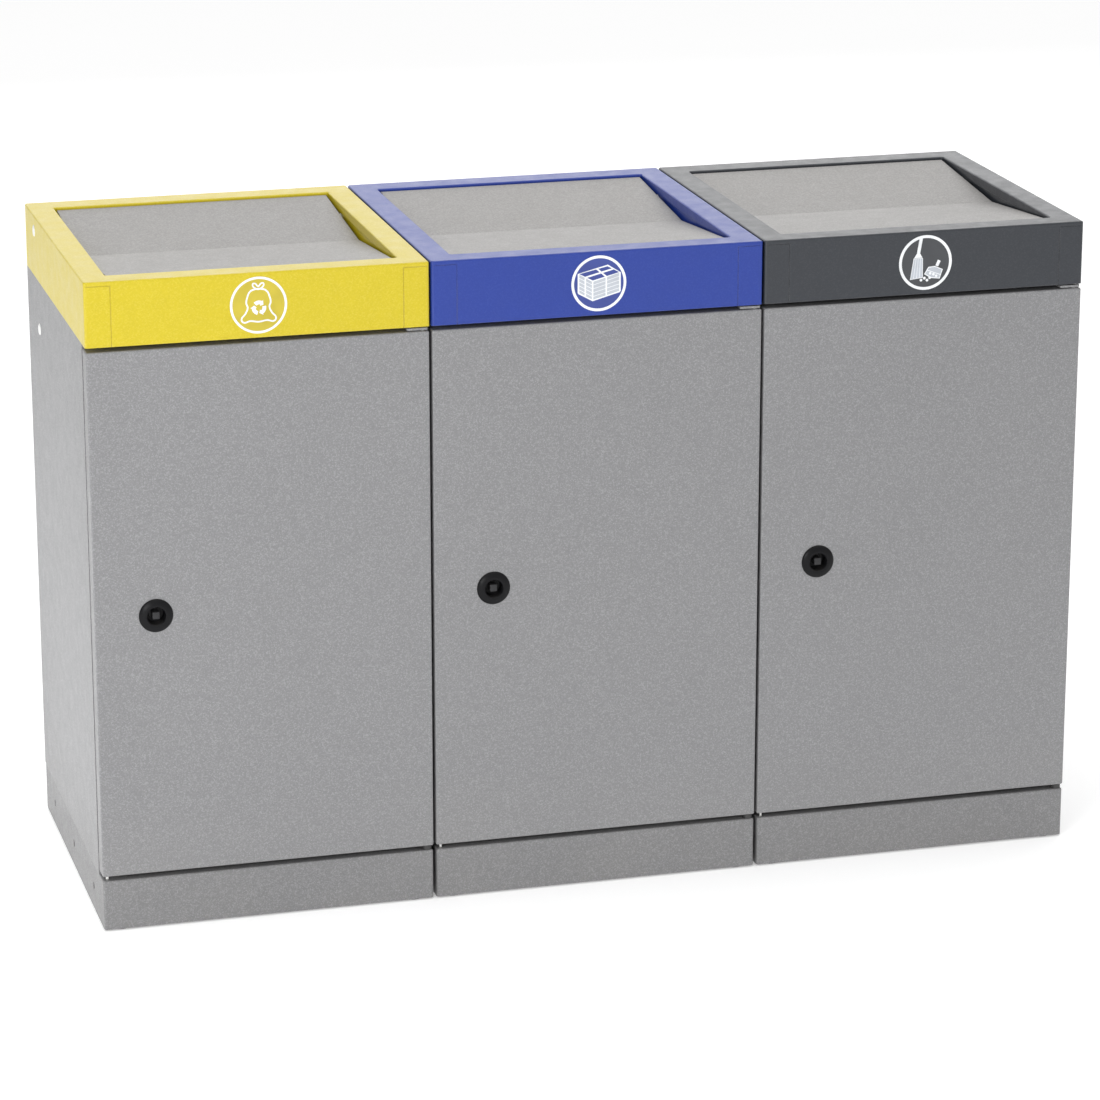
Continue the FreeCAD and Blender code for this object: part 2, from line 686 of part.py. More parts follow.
def lock_housing():
    """A domed escutcheon and the barrel behind it, hollowed for the key."""
    crown = RECESS_R + RECESS_CHAMFER
    bulge_r = (ESCUTCHEON_R + crown) / 2 + ESCUTCHEON_BULGE
    bulge_y = -ESCUTCHEON_PROUD + ESCUTCHEON_BULGE
    profile = [
        (crown, -ESCUTCHEON_PROUD),
        (RECESS_R, -ESCUTCHEON_PROUD + RECESS_CHAMFER),
        (RECESS_R, RECESS_DEPTH),
        (JOURNAL_R + RUNNING_FIT, RECESS_DEPTH),
        (JOURNAL_R + RUNNING_FIT, BARREL_DEPTH),
        (BARREL_R, BARREL_DEPTH),
        (BARREL_R, 0),
        (ESCUTCHEON_R, 0),
        (ESCUTCHEON_R, -ESCUTCHEON_EDGE),
    ]
    return turned(profile, (bulge_r, bulge_y))


def lock_nut():
    start = LOCK + Vector(0, SHEET, 0)
    end = LOCK + Vector(0, SHEET + LOCK_NUT_HEIGHT, 0)
    return hexagon(LOCK_NUT_FLATS, start, end).cut(rod(BARREL_R + RUNNING_FIT, start, end))


def lock_spindle():
    """The square that the key fits, its journal, and the riveted square end that carries the cam."""
    cam_y = BARREL_DEPTH + CAM_GAP
    end_y = cam_y + CAM_SHEET
    key = square_bar(KEY_SQUARE, (KEY_FRONT, RECESS_DEPTH))
    key = rounded(key, KEY_EDGE_R, lambda box: box.YMax < KEY_FRONT + NEAR or box.YLength > NEAR)
    journal = rod(JOURNAL_R, LOCK + Vector(0, RECESS_DEPTH, 0), LOCK + Vector(0, BARREL_DEPTH, 0))
    tail = square_bar(CAM_SQUARE, (BARREL_DEPTH, end_y))
    rivet = rod(RIVET_R, LOCK + Vector(0, end_y, 0), LOCK + Vector(0, end_y + RIVET_HEIGHT, 0))
    return joined(key, journal, tail, rivet)


def lock_cam():
    """The latch arm, pointing down when unlocked. A quarter turn puts it behind the front flange."""
    y = (BARREL_DEPTH + CAM_GAP, BARREL_DEPTH + CAM_GAP + CAM_SHEET)
    half = CAM_WIDTH / 2
    tip_z = LOCK.z - CAM_LENGTH + half
    hub = rod(CAM_HUB_R, LOCK + Vector(0, y[0], 0), LOCK + Vector(0, y[1], 0))
    arm = block((LOCK.x - half, LOCK.x + half), y, (tip_z, LOCK.z))
    tip = rod(half, Vector(LOCK.x, y[0], tip_z), Vector(LOCK.x, y[1], tip_z))
    return joined(hub, arm, tip).cut(square_bar(CAM_SQUARE, inset(y, -BEYOND)))


# --- Inner bin ---


def inner_bin():
    """An open bin with rounded corners and a hem folded out round its rim."""
    hem_z = (BIN_Z[1] - BIN_HEM_HEIGHT, BIN_Z[1])
    body = post(BIN_X, BIN_Y, BIN_Z, BIN_CORNER_R)
    hem = post(inset(BIN_X, -BIN_HEM), inset(BIN_Y, -BIN_HEM), hem_z, BIN_CORNER_R + BIN_HEM)
    hem = rounded(hem, BIN_HEM_R, lambda box: box.ZLength < NEAR)
    hollow_z = (BIN_Z[0] + BIN_SHEET, BIN_Z[1] + BEYOND)
    hollow_r = BIN_CORNER_R - BIN_SHEET
    hollow = post(inset(BIN_X, BIN_SHEET), inset(BIN_Y, BIN_SHEET), hollow_z, hollow_r)
    return joined(body, hem).cut(hollow)


def handle_ends():
    """The x of the handle's two legs."""
    middle = (BIN_X[0] + BIN_X[1]) / 2
    return (middle - HANDLE_WIDTH / 2, middle + HANDLE_WIDTH / 2)


def handle_eyes():
    """A drilled block each side of the handle, riveted to the front of the bin."""
    left, right = inset(handle_ends(), -EYE_GAP)
    pieces = []
    for x in ((left - EYE_WIDTH, left), (right, right + EYE_WIDTH)):
        z = (HANDLE_Z - EYE_HALF, HANDLE_Z + EYE_HALF)
        eye = block(x, (HANDLE_Y - EYE_OFFSET, BIN_Y[0]), z)
        eye = rounded(eye, EYE_EDGE_R, lambda box: crosswise(box) and box.YMin < HANDLE_Y)
        wire = Vector(0, HANDLE_Y, HANDLE_Z)
        pieces.append(drilled(eye, HANDLE_R + RUNNING_FIT, [wire], inset(x, -BEYOND)))
    return pieces


def bin_handle():
    """A wire loop that hangs from the eyes."""
    left, right = handle_ends()
    reach = EYE_GAP + EYE_WIDTH - LOOSE_FIT
    corners = [
        Vector(left - reach, HANDLE_Y, HANDLE_Z),
        Vector(left, HANDLE_Y, HANDLE_Z),
        Vector(left, HANDLE_Y, HANDLE_Z - HANDLE_DROP),
        Vector(right, HANDLE_Y, HANDLE_Z - HANDLE_DROP),
        Vector(right, HANDLE_Y, HANDLE_Z),
        Vector(right + reach, HANDLE_Y, HANDLE_Z),
    ]
    path = bent_path(corners, HANDLE_BEND_R)
    circle = Part.Wire(Part.makeCircle(HANDLE_R, corners[0], Vector(1, 0, 0)))
    return path.makePipeShell([circle], True, True)


def bent_path(corners, radius):
    """Straight runs through the corners, each corner rounded with a tangent arc."""
    edges = []
    start = corners[0]
    for before, corner, after in zip(corners, corners[1:], corners[2:]):
        back = (before - corner).normalize()
        on = (after - corner).normalize()
        first = corner + back * radius
        last = corner + on * radius
        centre = first + on * radius
        middle = centre + (corner - centre).normalize() * radius
        edges.append(Part.makeLine(start, first))
        edges.append(Part.Arc(first, middle, last).toShape())
        start = last
    edges.append(Part.makeLine(start, corners[-1]))
    return Part.Wire(edges)


# --- Joining bolts, plugs and films ---


def join_places():
    """Each joining hole, with the sheet it goes through and the gap between two cabinets there."""
    places = [(HOOD_HOLE, SHEET, HOOD_GAP), (BODY_HOLE, SHEET, HOOD_GAP)]
    return places + [(hole, PLINTH_SHEET, PLINTH_GAP) for hole in PLINTH_HOLES]


def shifted(place, x):
    return Vector(x, place.y, place.z)


def joining_bolts():
    """A bolt and nut at each joining hole on the boundary at x = PITCH."""
    pieces = []
    for hole, sheet, gap in join_places():
        head_end = shifted(hole, PITCH - gap / 2 - sheet)
        nut_start = shifted(hole, PITCH + gap / 2 + sheet)
        nut_end = nut_start + Vector(BOLT_NUT_HEIGHT, 0, 0)
        head = hexagon(BOLT_HEAD_FLATS, head_end - Vector(BOLT_HEAD_HEIGHT, 0, 0), head_end)
        pieces.append(joined(head, rod(BOLT_R, head_end, nut_end + Vector(BOLT_TIP, 0, 0))))
        nut = hexagon(BOLT_HEAD_FLATS, nut_start, nut_end)
        pieces.append(nut.cut(rod(BOLT_R + RUNNING_FIT, nut_start, nut_end)))
    return pieces


def joining_spacers():
    """A washer between the two cabinets at each joining bolt."""
    pieces = []
    for hole, sheet, gap in join_places():
        start = shifted(hole, PITCH - gap / 2)
        end = shifted(hole, PITCH + gap / 2)
        pieces.append(ring(SPACER_R, BOLT_HOLE_R, start, end))
    return pieces


def hole_plugs(wall, inward):
    """A domed plug in the hood's hole and one in the body's hole, on an outer side."""
    pieces = []
    for hole in (HOOD_HOLE, BODY_HOLE):
        face = shifted(hole, wall)
        cap = rod(PLUG_R, face, face - Vector(inward * PLUG_PROUD, 0, 0))
        cap = rounded(cap, PLUG_EDGE_R, lambda box: box.XLength < NEAR and off_wall(box, wall))
        stem = rod(BOLT_R, face, face + Vector(inward * PLUG_DEPTH, 0, 0))
        pieces.append(joined(cap, stem))
    return pieces


def off_wall(box, wall):
    """True for an edge that doesn't lie on the wall."""
    return abs(box.XMin - wall) > PLUG_PROUD / 2


def pictogram_film():
    middle = (HOOD_X[0] + HOOD_X[1]) / 2
    face = Vector(middle, 0, (HOOD_BOTTOM + HEIGHT) / 2)
    return rod(FILM_R, face, face - Vector(0, FILM_SHEET, 0))


# --- Putting the station together ---


def in_row(shape, index):
    """A copy of a piece of one cabinet, moved to its place in the station."""
    copy = shape.copy()
    copy.translate(Vector(PITCH * index, 0, 0) - STATION_CENTRE)
    return copy


def write(name, pieces):
    """One STEP file for one node."""
    shape = pieces[0] if len(pieces) == 1 else Part.makeCompound(pieces)
    shape.exportStep("parts/" + name + ".step")


def main():
    os.makedirs("parts", exist_ok=True)
    own_node = {
        "plinth": [plinth()],
        "carcass": [carcass()],
        "hood": [hood()],
        "throat": [throat()],
        "flap": [flap()],
        "flap_axle": [flap_axle()],
        "flap_counterweight": [flap_counterweight()],
        "door": [door()],
        "door_stiffener": [door_stiffener()],
        "pivot_plates": pivot_plates(),
        "lock_housing": [lock_housing(), lock_nut()],
        "lock_spindle": [lock_spindle()],
        "lock_cam": [lock_cam()],
        "inner_bin": [inner_bin()],
        "bin_handle": [bin_handle()],
    }
    for index, stream in enumerate(STREAMS):
        for name, pieces in own_node.items():
            write(stream + "_" + name, [in_row(piece, index) for piece in pieces])

    all_along = range(len(STREAMS))
    between = all_along[:-1]
    shared = {
        "floor_trays": ([floor_tray()], all_along),
        "front_rails": ([front_rail()], all_along),
        "hinge_brackets": ([hinge_bracket()], all_along),
        "hinge_pins": (hinge_pins(), all_along),
        "hinge_washers": ([hinge_washer()], all_along),
        "door_rest_pegs": ([rest_peg()], all_along),
        "door_buffers": (door_buffers(), all_along),
        "flap_bushes": (flap_bushes(), all_along),
        "flap_stops": (flap_stops(), all_along),
        "bin_handle_eyes": (handle_eyes(), all_along),
        "levelling_feet": (levelling_feet(), all_along),
        "joining_bolts": (joining_bolts(), between),
        "joining_spacers": (joining_spacers(), between),
        "pictogram_films": ([pictogram_film()], all_along),
    }
    for name, (pieces, cabinets) in shared.items():
        write(name, [in_row(piece, index) for index in cabinets for piece in pieces])

    left = [in_row(piece, 0) for piece in hole_plugs(HOOD_X[0], 1)]
    right = [in_row(piece, len(STREAMS) - 1) for piece in hole_plugs(HOOD_X[1], -1)]
    write("hole_plugs", left + right)


main()
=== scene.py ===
import json
import math

import bmesh
import bpy
from mathutils import Matrix, Vector


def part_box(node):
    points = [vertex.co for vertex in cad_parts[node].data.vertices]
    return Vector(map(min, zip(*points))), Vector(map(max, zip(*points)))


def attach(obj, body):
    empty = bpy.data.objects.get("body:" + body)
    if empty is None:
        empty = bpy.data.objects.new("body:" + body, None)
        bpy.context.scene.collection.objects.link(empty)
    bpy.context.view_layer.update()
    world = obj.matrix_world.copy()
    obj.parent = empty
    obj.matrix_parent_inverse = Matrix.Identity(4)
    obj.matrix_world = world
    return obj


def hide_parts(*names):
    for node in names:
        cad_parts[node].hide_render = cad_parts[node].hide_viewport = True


# A recycling station of three steel cabinets in a row. Metres, in the same frame as the model:
# +X along the row, the doors face -Y, and +Z is up from the floor.

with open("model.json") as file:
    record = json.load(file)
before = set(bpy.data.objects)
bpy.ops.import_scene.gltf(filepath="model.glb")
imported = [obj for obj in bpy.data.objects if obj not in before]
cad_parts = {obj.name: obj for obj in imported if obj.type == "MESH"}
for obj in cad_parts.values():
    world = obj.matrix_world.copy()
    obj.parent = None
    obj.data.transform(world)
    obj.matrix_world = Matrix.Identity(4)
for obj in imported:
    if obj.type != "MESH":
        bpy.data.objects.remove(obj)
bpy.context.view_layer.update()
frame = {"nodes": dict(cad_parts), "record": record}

MM = 0.001
STREAMS = ("yellow", "blue", "grey")
ALONG = Vector((1, 0, 0))
BACK = Vector((0, 1, 0))
UP = Vector((0, 0, 1))
MERGE = 0.001 * MM  # points nearer to each other than this become one


# --- Node helpers ---


def add(tree, kind, inputs=None, **settings):
    """A node with its settings and its inputs. An input is a value or another node's output."""
    made = tree.nodes.new(kind)
    for name, value in settings.items():
        setattr(made, name, value)
    for name, value in (inputs or {}).items():
        if isinstance(value, bpy.types.NodeSocket):
            tree.links.new(value, made.inputs[name])
        else:
            made.inputs[name].default_value = value
    return made


def sums(tree, operation, first, second):
    """The result of one sum on two values."""
    return add(tree, "ShaderNodeMath", {0: first, 1: second}, operation=operation).outputs[0]


def spread(tree, value, start, end, low, high):
    """A value taken from one range to another, and kept inside it."""
    inputs = {"Value": value, "From Min": start, "From Max": end, "To Min": low, "To Max": high}
    return add(tree, "ShaderNodeMapRange", inputs).outputs["Result"]


def blend_colour(tree, factor, first, second, how="MIX"):
    """Two colours mixed by a factor."""
    inputs = {0: factor, 6: first, 7: second}
    mixer = add(tree, "ShaderNodeMix", inputs, data_type="RGBA", blend_type=how)
    return mixer.outputs[2]


def noise(tree, place, scale, detail=2.0, roughness=0.5):
    """Smooth noise, mostly between 0.3 and 0.7."""
    inputs = {"Vector": place, "Scale": scale, "Detail": detail, "Roughness": roughness}
    return add(tree, "ShaderNodeTexNoise", inputs).outputs["Fac"]


def start_group(name, inputs, outputs):
    """A shader node group with its sockets. Returns the tree and the outputs of its input node."""
    tree = bpy.data.node_groups.new(name, "ShaderNodeTree")
    for socket, (kind, value) in inputs.items():
        made = tree.interface.new_socket(socket, in_out="INPUT", socket_type="NodeSocket" + kind)
        made.default_value = value
    for socket, kind in outputs.items():
        tree.interface.new_socket(socket, in_out="OUTPUT", socket_type="NodeSocket" + kind)
    return tree, tree.nodes.new("NodeGroupInput").outputs


def end_group(tree, results):
    """The group's results, joined to its output node."""
    add(tree, "NodeGroupOutput", results)
    return tree


def object_place(tree):
    """The place on a piece, in metres from its origin."""
    return add(tree, "ShaderNodeTexCoord").outputs["Object"]


def use_group(tree, group, inputs=None):
    """A shader node group placed with its own values. Returns its outputs."""
    return add(tree, "ShaderNodeGroup", inputs, node_tree=group).outputs


# --- Effects that several finishes share ---

BEVEL_SAMPLES = 4


def powder_coat_group():
    """Sprayed and baked powder: metal flecks, orange peel and broad uneven cover."""
    inputs = {
        "Paint": ("Color", (0.5, 0.5, 0.5, 1)),
        "Fleck": ("Color", (0.8, 0.8, 0.8, 1)),
        "Fleck Strength": ("Float", 0.3),
        "Fleck Scale": ("Float", 900.0),
        "Unevenness": ("Float", 0.05),
        "Peel Scale": ("Float", 420.0),
        "Roughness": ("Float", 0.4),
    }
    outputs = {"Color": "Color", "Roughness": "Float", "Height": "Float"}
    tree, given = start_group("Powder coat", inputs, outputs)
    place = object_place(tree)
    cells = add(tree, "ShaderNodeTexVoronoi", {"Vector": place, "Scale": given["Fleck Scale"]})
    shade = add(tree, "ShaderNodeSeparateColor", {"Color": cells.outputs["Color"]}).outputs[0]
    bright = spread(tree, shade, 0.55, 1.0, 0.0, 1.0)
    dark = spread(tree, shade, 0.45, 0.0, 0.0, 1.0)
    bright = sums(tree, "MULTIPLY", bright, given["Fleck Strength"])
    dark = sums(tree, "MULTIPLY", dark, given["Fleck Strength"])
    colour = blend_colour(tree, bright, given["Paint"], given["Fleck"])
    deep = blend_colour(tree, 1.0, colour, (0.55, 0.55, 0.57, 1), "MULTIPLY")
    colour = blend_colour(tree, dark, colour, deep)
    broad = noise(tree, place, 3.5, 3.0)
    middling = noise(tree, place, 60.0, 3.0)
    half_middling = sums(tree, "MULTIPLY", middling, 0.5)
    half_broad = sums(tree, "MULTIPLY", broad, 0.5)
    cover = sums(tree, "ADD", half_middling, half_broad)
    low = sums(tree, "SUBTRACT", 1.0, given["Unevenness"])
    high = sums(tree, "ADD", 1.0, given["Unevenness"])
    gain = spread(tree, cover, 0.3, 0.7, low, high)
    gain = add(tree, "ShaderNodeCombineColor", {0: gain, 1: gain, 2: gain}).outputs[0]
    colour = blend_colour(tree, 1.0, colour, gain, "MULTIPLY")
    peel = noise(tree, place, given["Peel Scale"], 1.5)
    rough = sums(tree, "ADD", given["Roughness"], spread(tree, middling, 0.3, 0.7, -0.05, 0.05))
    rough = sums(tree, "SUBTRACT", rough, sums(tree, "MULTIPLY", bright, 0.3))
    return end_group(tree, {"Color": colour, "Roughness": rough, "Height": peel})


def painted_edge_light_group():
    """A patchy mask along folds and corners, where a painted highlight stands in for the light that the
    bends catch.
    """
    inputs = {"Width": ("Float", 1.2 * MM), "Amount": ("Float", 0.5)}
    tree, given = start_group("Painted edge light", inputs, {"Mask": "Float"})
    softened = add(tree, "ShaderNodeBevel", {"Radius": given["Width"]}, samples=BEVEL_SAMPLES)
    true_normal = add(tree, "ShaderNodeNewGeometry").outputs["True Normal"]
    inputs = {0: softened.outputs["Normal"], 1: true_normal}
    facing = add(tree, "ShaderNodeVectorMath", inputs, operation="DOT_PRODUCT").outputs["Value"]
    edge = spread(tree, facing, 0.985, 0.80, 0.0, 1.0)
    patches = spread(tree, noise(tree, object_place(tree), 55.0, 4.0, 0.65), 0.42, 0.62, 0.25, 1.0)
    mask = sums(tree, "MULTIPLY", sums(tree, "MULTIPLY", edge, patches), given["Amount"])
    return end_group(tree, {"Mask": mask})


def dust_group():
    """Dust settled on upward faces, and scuffs and splashes near the floor."""
    inputs = {"Settled": ("Float", 0.1), "Splashed": ("Float", 0.1), "Fade Height": ("Float", 0.15)}
    tree, given = start_group("Dust and splashes", inputs, {"Mask": "Float"})
    coords = add(tree, "ShaderNodeTexCoord")
    place = coords.outputs["Object"]
    upward = add(tree, "ShaderNodeSeparateXYZ", {0: coords.outputs["Normal"]}).outputs["Z"]
    height = add(tree, "ShaderNodeSeparateXYZ", {0: place}).outputs["Z"]
    cloud = spread(tree, noise(tree, place, 9.0, 5.0, 0.6), 0.35, 0.7, 0.3, 1.0)
    specks = spread(tree, noise(tree, place, 160.0, 2.0), 0.6, 0.72, 0.0, 1.0)
    settled = sums(tree, "MULTIPLY", spread(tree, upward, 0.5, 1.0, 0.0, 1.0), given["Settled"])
    near_floor = spread(tree, height, 0.0, given["Fade Height"], 1.0, 0.0)
    splashed = sums(tree, "MULTIPLY", near_floor, given["Splashed"])
    grime = sums(tree, "ADD", sums(tree, "MULTIPLY", cloud, 0.7), sums(tree, "MULTIPLY", specks, 0.3))
    mask = sums(tree, "MULTIPLY", sums(tree, "ADD", settled, splashed), grime)
    return end_group(tree, {"Mask": mask})


def spangle_group():
    """Zinc crystals as hot dipping leaves them: angular patches, each with its own shade and gloss."""
    inputs = {
        "Zinc": ("Color", (0.55, 0.57, 0.6, 1)),
        "Crystals Per Metre": ("Float", 75.0),
        "Contrast": ("Float", 0.35),
    }
    outputs = {"Color": "Color", "Roughness": "Float", "Height": "Float"}
    tree, given = start_group("Zinc spangle", inputs, outputs)
    place = object_place(tree)
    wobble = add(tree, "ShaderNodeTexNoise", {"Vector": place, "Scale": 30.0, "Detail": 2.0})
    bent = add(
        tree,
        "ShaderNodeMix",
        {0: 0.02, 4: place, 5: wobble.outputs["Color"]},
        data_type="VECTOR",
    ).outputs[1]
    crystals = {"Vector": bent, "Scale": given["Crystals Per Metre"]}
    cells = add(tree, "ShaderNodeTexVoronoi", crystals)
    borders = add(tree, "ShaderNodeTexVoronoi", crystals, feature="DISTANCE_TO_EDGE")
    shade = add(tree, "ShaderNodeSeparateColor", {"Color": cells.outputs["Color"]}).outputs
    darker = sums(tree, "MULTIPLY", shade[0], given["Contrast"])
    deep = blend_colour(tree, 1.0, given["Zinc"], (0.45, 0.47, 0.5, 1), "MULTIPLY")
    colour = blend_colour(tree, darker, given["Zinc"], deep)
    feather = noise(tree, place, 260.0, 3.0)
    crystal_rough = spread(tree, shade[1], 0.0, 1.0, 0.28, 0.5)
    rough = sums(tree, "ADD", crystal_rough, sums(tree, "MULTIPLY", feather, 0.08))
    ridge = spread(tree, borders.outputs["Distance"], 0.0, 0.12, 0.0, 0.6)
    height = sums(tree, "ADD", ridge, sums(tree, "MULTIPLY", feather, 0.4))
    return end_group(tree, {"Color": colour, "Roughness": rough, "Height": height})


def drawn_metal_group():
    """Fine lines left by rolling, turning or brushing, along one direction."""
    inputs = {
        "Metal": ("Color", (0.6, 0.6, 0.6, 1)),
        "Lines": ("Vector", (30.0, 900.0, 900.0)),
        "Strength": ("Float", 0.15),
        "Roughness": ("Float", 0.3),
    }
    outputs = {"Color": "Color", "Roughness": "Float", "Height": "Float"}
    tree, given = start_group("Drawn metal", inputs, outputs)
    place = object_place(tree)
    stretched = add(tree, "ShaderNodeVectorMath", {0: place, 1: given["Lines"]}, operation="MULTIPLY")
    lines = noise(tree, stretched.outputs[0], 1.0, 3.0)
    blotches = noise(tree, place, 24.0, 3.0)
    darker = sums(tree, "MULTIPLY", lines, given["Strength"])
    deep = blend_colour(tree, 1.0, given["Metal"], (0.5, 0.5, 0.5, 1), "MULTIPLY")
    colour = blend_colour(tree, darker, given["Metal"], deep)
    line_change = spread(tree, lines, 0.3, 0.7, -0.06, 0.06)
    blotch_change = spread(tree, blotches, 0.3, 0.7, -0.04, 0.06)
    change = sums(tree, "ADD", line_change, blotch_change)
    rough = sums(tree, "ADD", given["Roughness"], change)
    return end_group(tree, {"Color": colour, "Roughness": rough, "Height": lines})


def moulding_group():
    """The fine spark-eroded grain of a moulded plastic or rubber part."""
    inputs = {
        "Plastic": ("Color", (0.1, 0.1, 0.1, 1)),
        "Grain Scale": ("Float", 1100.0),
        "Roughness": ("Float", 0.45),
    }
    outputs = {"Color": "Color", "Roughness": "Float", "Height": "Float"}
    tree, given = start_group("Moulded grain", inputs, outputs)
    place = object_place(tree)
    grain = noise(tree, place, given["Grain Scale"], 2.0)
    flow = noise(tree, place, 40.0, 2.0)
    pale = blend_colour(tree, 1.0, given["Plastic"], (1.25, 1.25, 1.25, 1), "MULTIPLY")
    colour = blend_colour(tree, spread(tree, flow, 0.35, 0.7, 0.0, 0.6), given["Plastic"], pale)
    rough = sums(tree, "ADD", given["Roughness"], spread(tree, grain, 0.3, 0.7, -0.06, 0.08))
    return end_group(tree, {"Color": colour, "Roughness": rough, "Height": grain})


POWDER_COAT = powder_coat_group()
PAINTED_EDGE_LIGHT = painted_edge_light_group()
DUST = dust_group()
SPANGLE = spangle_group()
DRAWN_METAL = drawn_metal_group()
MOULDING = moulding_group()


# --- Finishes ---

DUST_COLOUR = (0.36, 0.34, 0.31, 1)


def finish(name, surface, depth, edge_light=None, dusty=None, fold=0.0, **constants):
    """A material from one surface effect, with a painted highlight along its edges and dust laid over
    it.
    """
    material = bpy.data.materials.new(name)
    material.use_nodes = True
    tree = material.node_tree
    shader = tree.nodes["Principled BSDF"]
    group, inputs = surface
    coat = use_group(tree, group, inputs)
    colour = coat["Color"]
    rough = coat["Roughness"]
    if edge_light:
        edge_light_colour, amount, width = edge_light
        mask = use_group(tree, PAINTED_EDGE_LIGHT, {"Amount": amount, "Width": width})["Mask"]
        # Painted light: the edges are tinted as a highlight where the bends catch the light (darker on
        # pale parts).
        colour = blend_colour(tree, mask, colour, edge_light_colour + (1,))
    if dusty:
        settled, splashed = dusty
        mask = use_group(tree, DUST, {"Settled": settled, "Splashed": splashed})["Mask"]
        colour = blend_colour(tree, mask, colour, DUST_COLOUR)
        rough = sums(tree, "ADD", rough, sums(tree, "MULTIPLY", mask, 0.4))
    bump = {"Height": coat["Height"], "Distance": depth, "Strength": 1.0}
    if fold:
        rounded = add(tree, "ShaderNodeBevel", {"Radius": fold}, samples=BEVEL_SAMPLES)
        bump["Normal"] = rounded.outputs["Normal"]
    bumped = add(tree, "ShaderNodeBump", bump).outputs["Normal"]
    tree.links.new(colour, shader.inputs["Base Color"])
    tree.links.new(rough, shader.inputs["Roughness"])
    tree.links.new(bumped, shader.inputs["Normal"])
    for socket, value in constants.items():
        shader.inputs[socket.replace("_", " ")].default_value = value
    return material


def silver_powder(name, shade):
    """Silver-grey powder coat with fine metal flecks."""
    surface = {
        "Paint": shade + (1,),
        "Fleck": (0.62, 0.62, 0.63, 1),
        "Fleck Strength": 0.20,
        "Fleck Scale": 900.0,
        "Unevenness": 0.03,
        "Peel Scale": 380.0,
        "Roughness": 0.44,
    }
    return finish(
        name,
        (POWDER_COAT, surface),
        0.05 * MM,
        # The edges get a painted highlight, paler than the paint.
        edge_light=((0.58, 0.58, 0.58), 0.45, 1.6 * MM),
        dusty=(0.10, 0.22),
        fold=1.0 * MM,
        Metallic=0.15,
    )


def coloured_powder(name, shade, fleck):
    """Smooth satin powder coat in a stream's colour."""
    surface = {
        "Paint": shade + (1,),
        "Fleck": fleck + (1,),
        "Fleck Strength": 0.10,
        "Fleck Scale": 800.0,
        "Unevenness": 0.03,
        "Peel Scale": 210.0,
        "Roughness": 0.40,
    }
    # The colour of the painted highlight along the edges: paler than the paint.
    pale = tuple(0.6 * part + 0.28 for part in shade)
    return finish(
        name,
        (POWDER_COAT, surface),
        0.035 * MM,
        edge_light=(pale, 0.35, 1.4 * MM),
        dusty=(0.06, 0.0),
        fold=1.0 * MM,
        Coat_Weight=0.20,
        Coat_Roughness=0.28,
    )


def drawn(name, shade, lines, rough, metallic, strength=0.15, depth=0.02, **constants):
    """Plated or blacked metal with fine lines. The depth of the lines is in millimetres."""
    surface = {"Metal": shade + (1,), "Lines": lines, "Strength": strength, "Roughness": rough}
    return finish(
        name,
        (DRAWN_METAL, surface),
        depth * MM,
        # The edges get a painted highlight, brighter than the metal.
        edge_light=(tuple(min(1.0, part * 1.25) for part in shade), 0.4, 0.8 * MM),
        dusty=(0.05, 0.05),
        fold=0.4 * MM,
        Metallic=metallic,
        **constants,
    )


def moulded(name, shade, rough, depth, grain=1100.0, **constants):
    """Moulded plastic, rubber or print with a fine grain. Its depth is in millimetres."""
    surface = {"Plastic": shade + (1,), "Grain Scale": grain, "Roughness": rough}
    return finish(
        name,
        (MOULDING, surface),
        depth * MM,
        # Painted edge light: lighter edges on dark parts, darker edges on pale ones.
        edge_light=(tuple(part * 0.8 + 0.06 for part in shade), 0.4, 0.5 * MM),
        dusty=(0.10, 0.20),
        fold=0.25 * MM,
        **constants,
    )


def flap_finish():
    """Bead-blasted, clear-lacquered sheet: matt, with a soft even grain."""
    surface = {
        "Paint": (0.338, 0.328, 0.320, 1),
        "Fleck": (0.60, 0.59, 0.57, 1),
        "Fleck Strength": 0.22,
        "Fleck Scale": 740.0,
        "Unevenness": 0.035,
        "Peel Scale": 520.0,
        "Roughness": 0.50,
    }
    return finish(
        "Matt silver flap",
        (POWDER_COAT, surface),
        0.035 * MM,
        # The edges get a painted highlight.
        edge_light=((0.72, 0.71, 0.70), 0.4, 1.0 * MM),
        dusty=(0.10, 0.0),
        fold=0.6 * MM,
        Metallic=0.25,
    )


def zinc_finish():
    """Hot-dip galvanised sheet with its spangle."""
    surface = {"Zinc": (0.56, 0.58, 0.60, 1), "Crystals Per Metre": 75.0, "Contrast": 0.45}
    return finish(
        "Hot-dip zinc",
        (SPANGLE, surface),
        0.04 * MM,
        # The edges get a painted highlight.
        edge_light=((0.70, 0.71, 0.72), 0.5, 0.8 * MM),
        dusty=(0.30, 0.15),
        fold=0.4 * MM,
        Metallic=0.85,
    )


PAINTS = {
    "yellow": (0.630, 0.500, 0.001),
    "blue": (0.0065, 0.036, 0.300),
    "grey": (0.025, 0.029, 0.037),
}

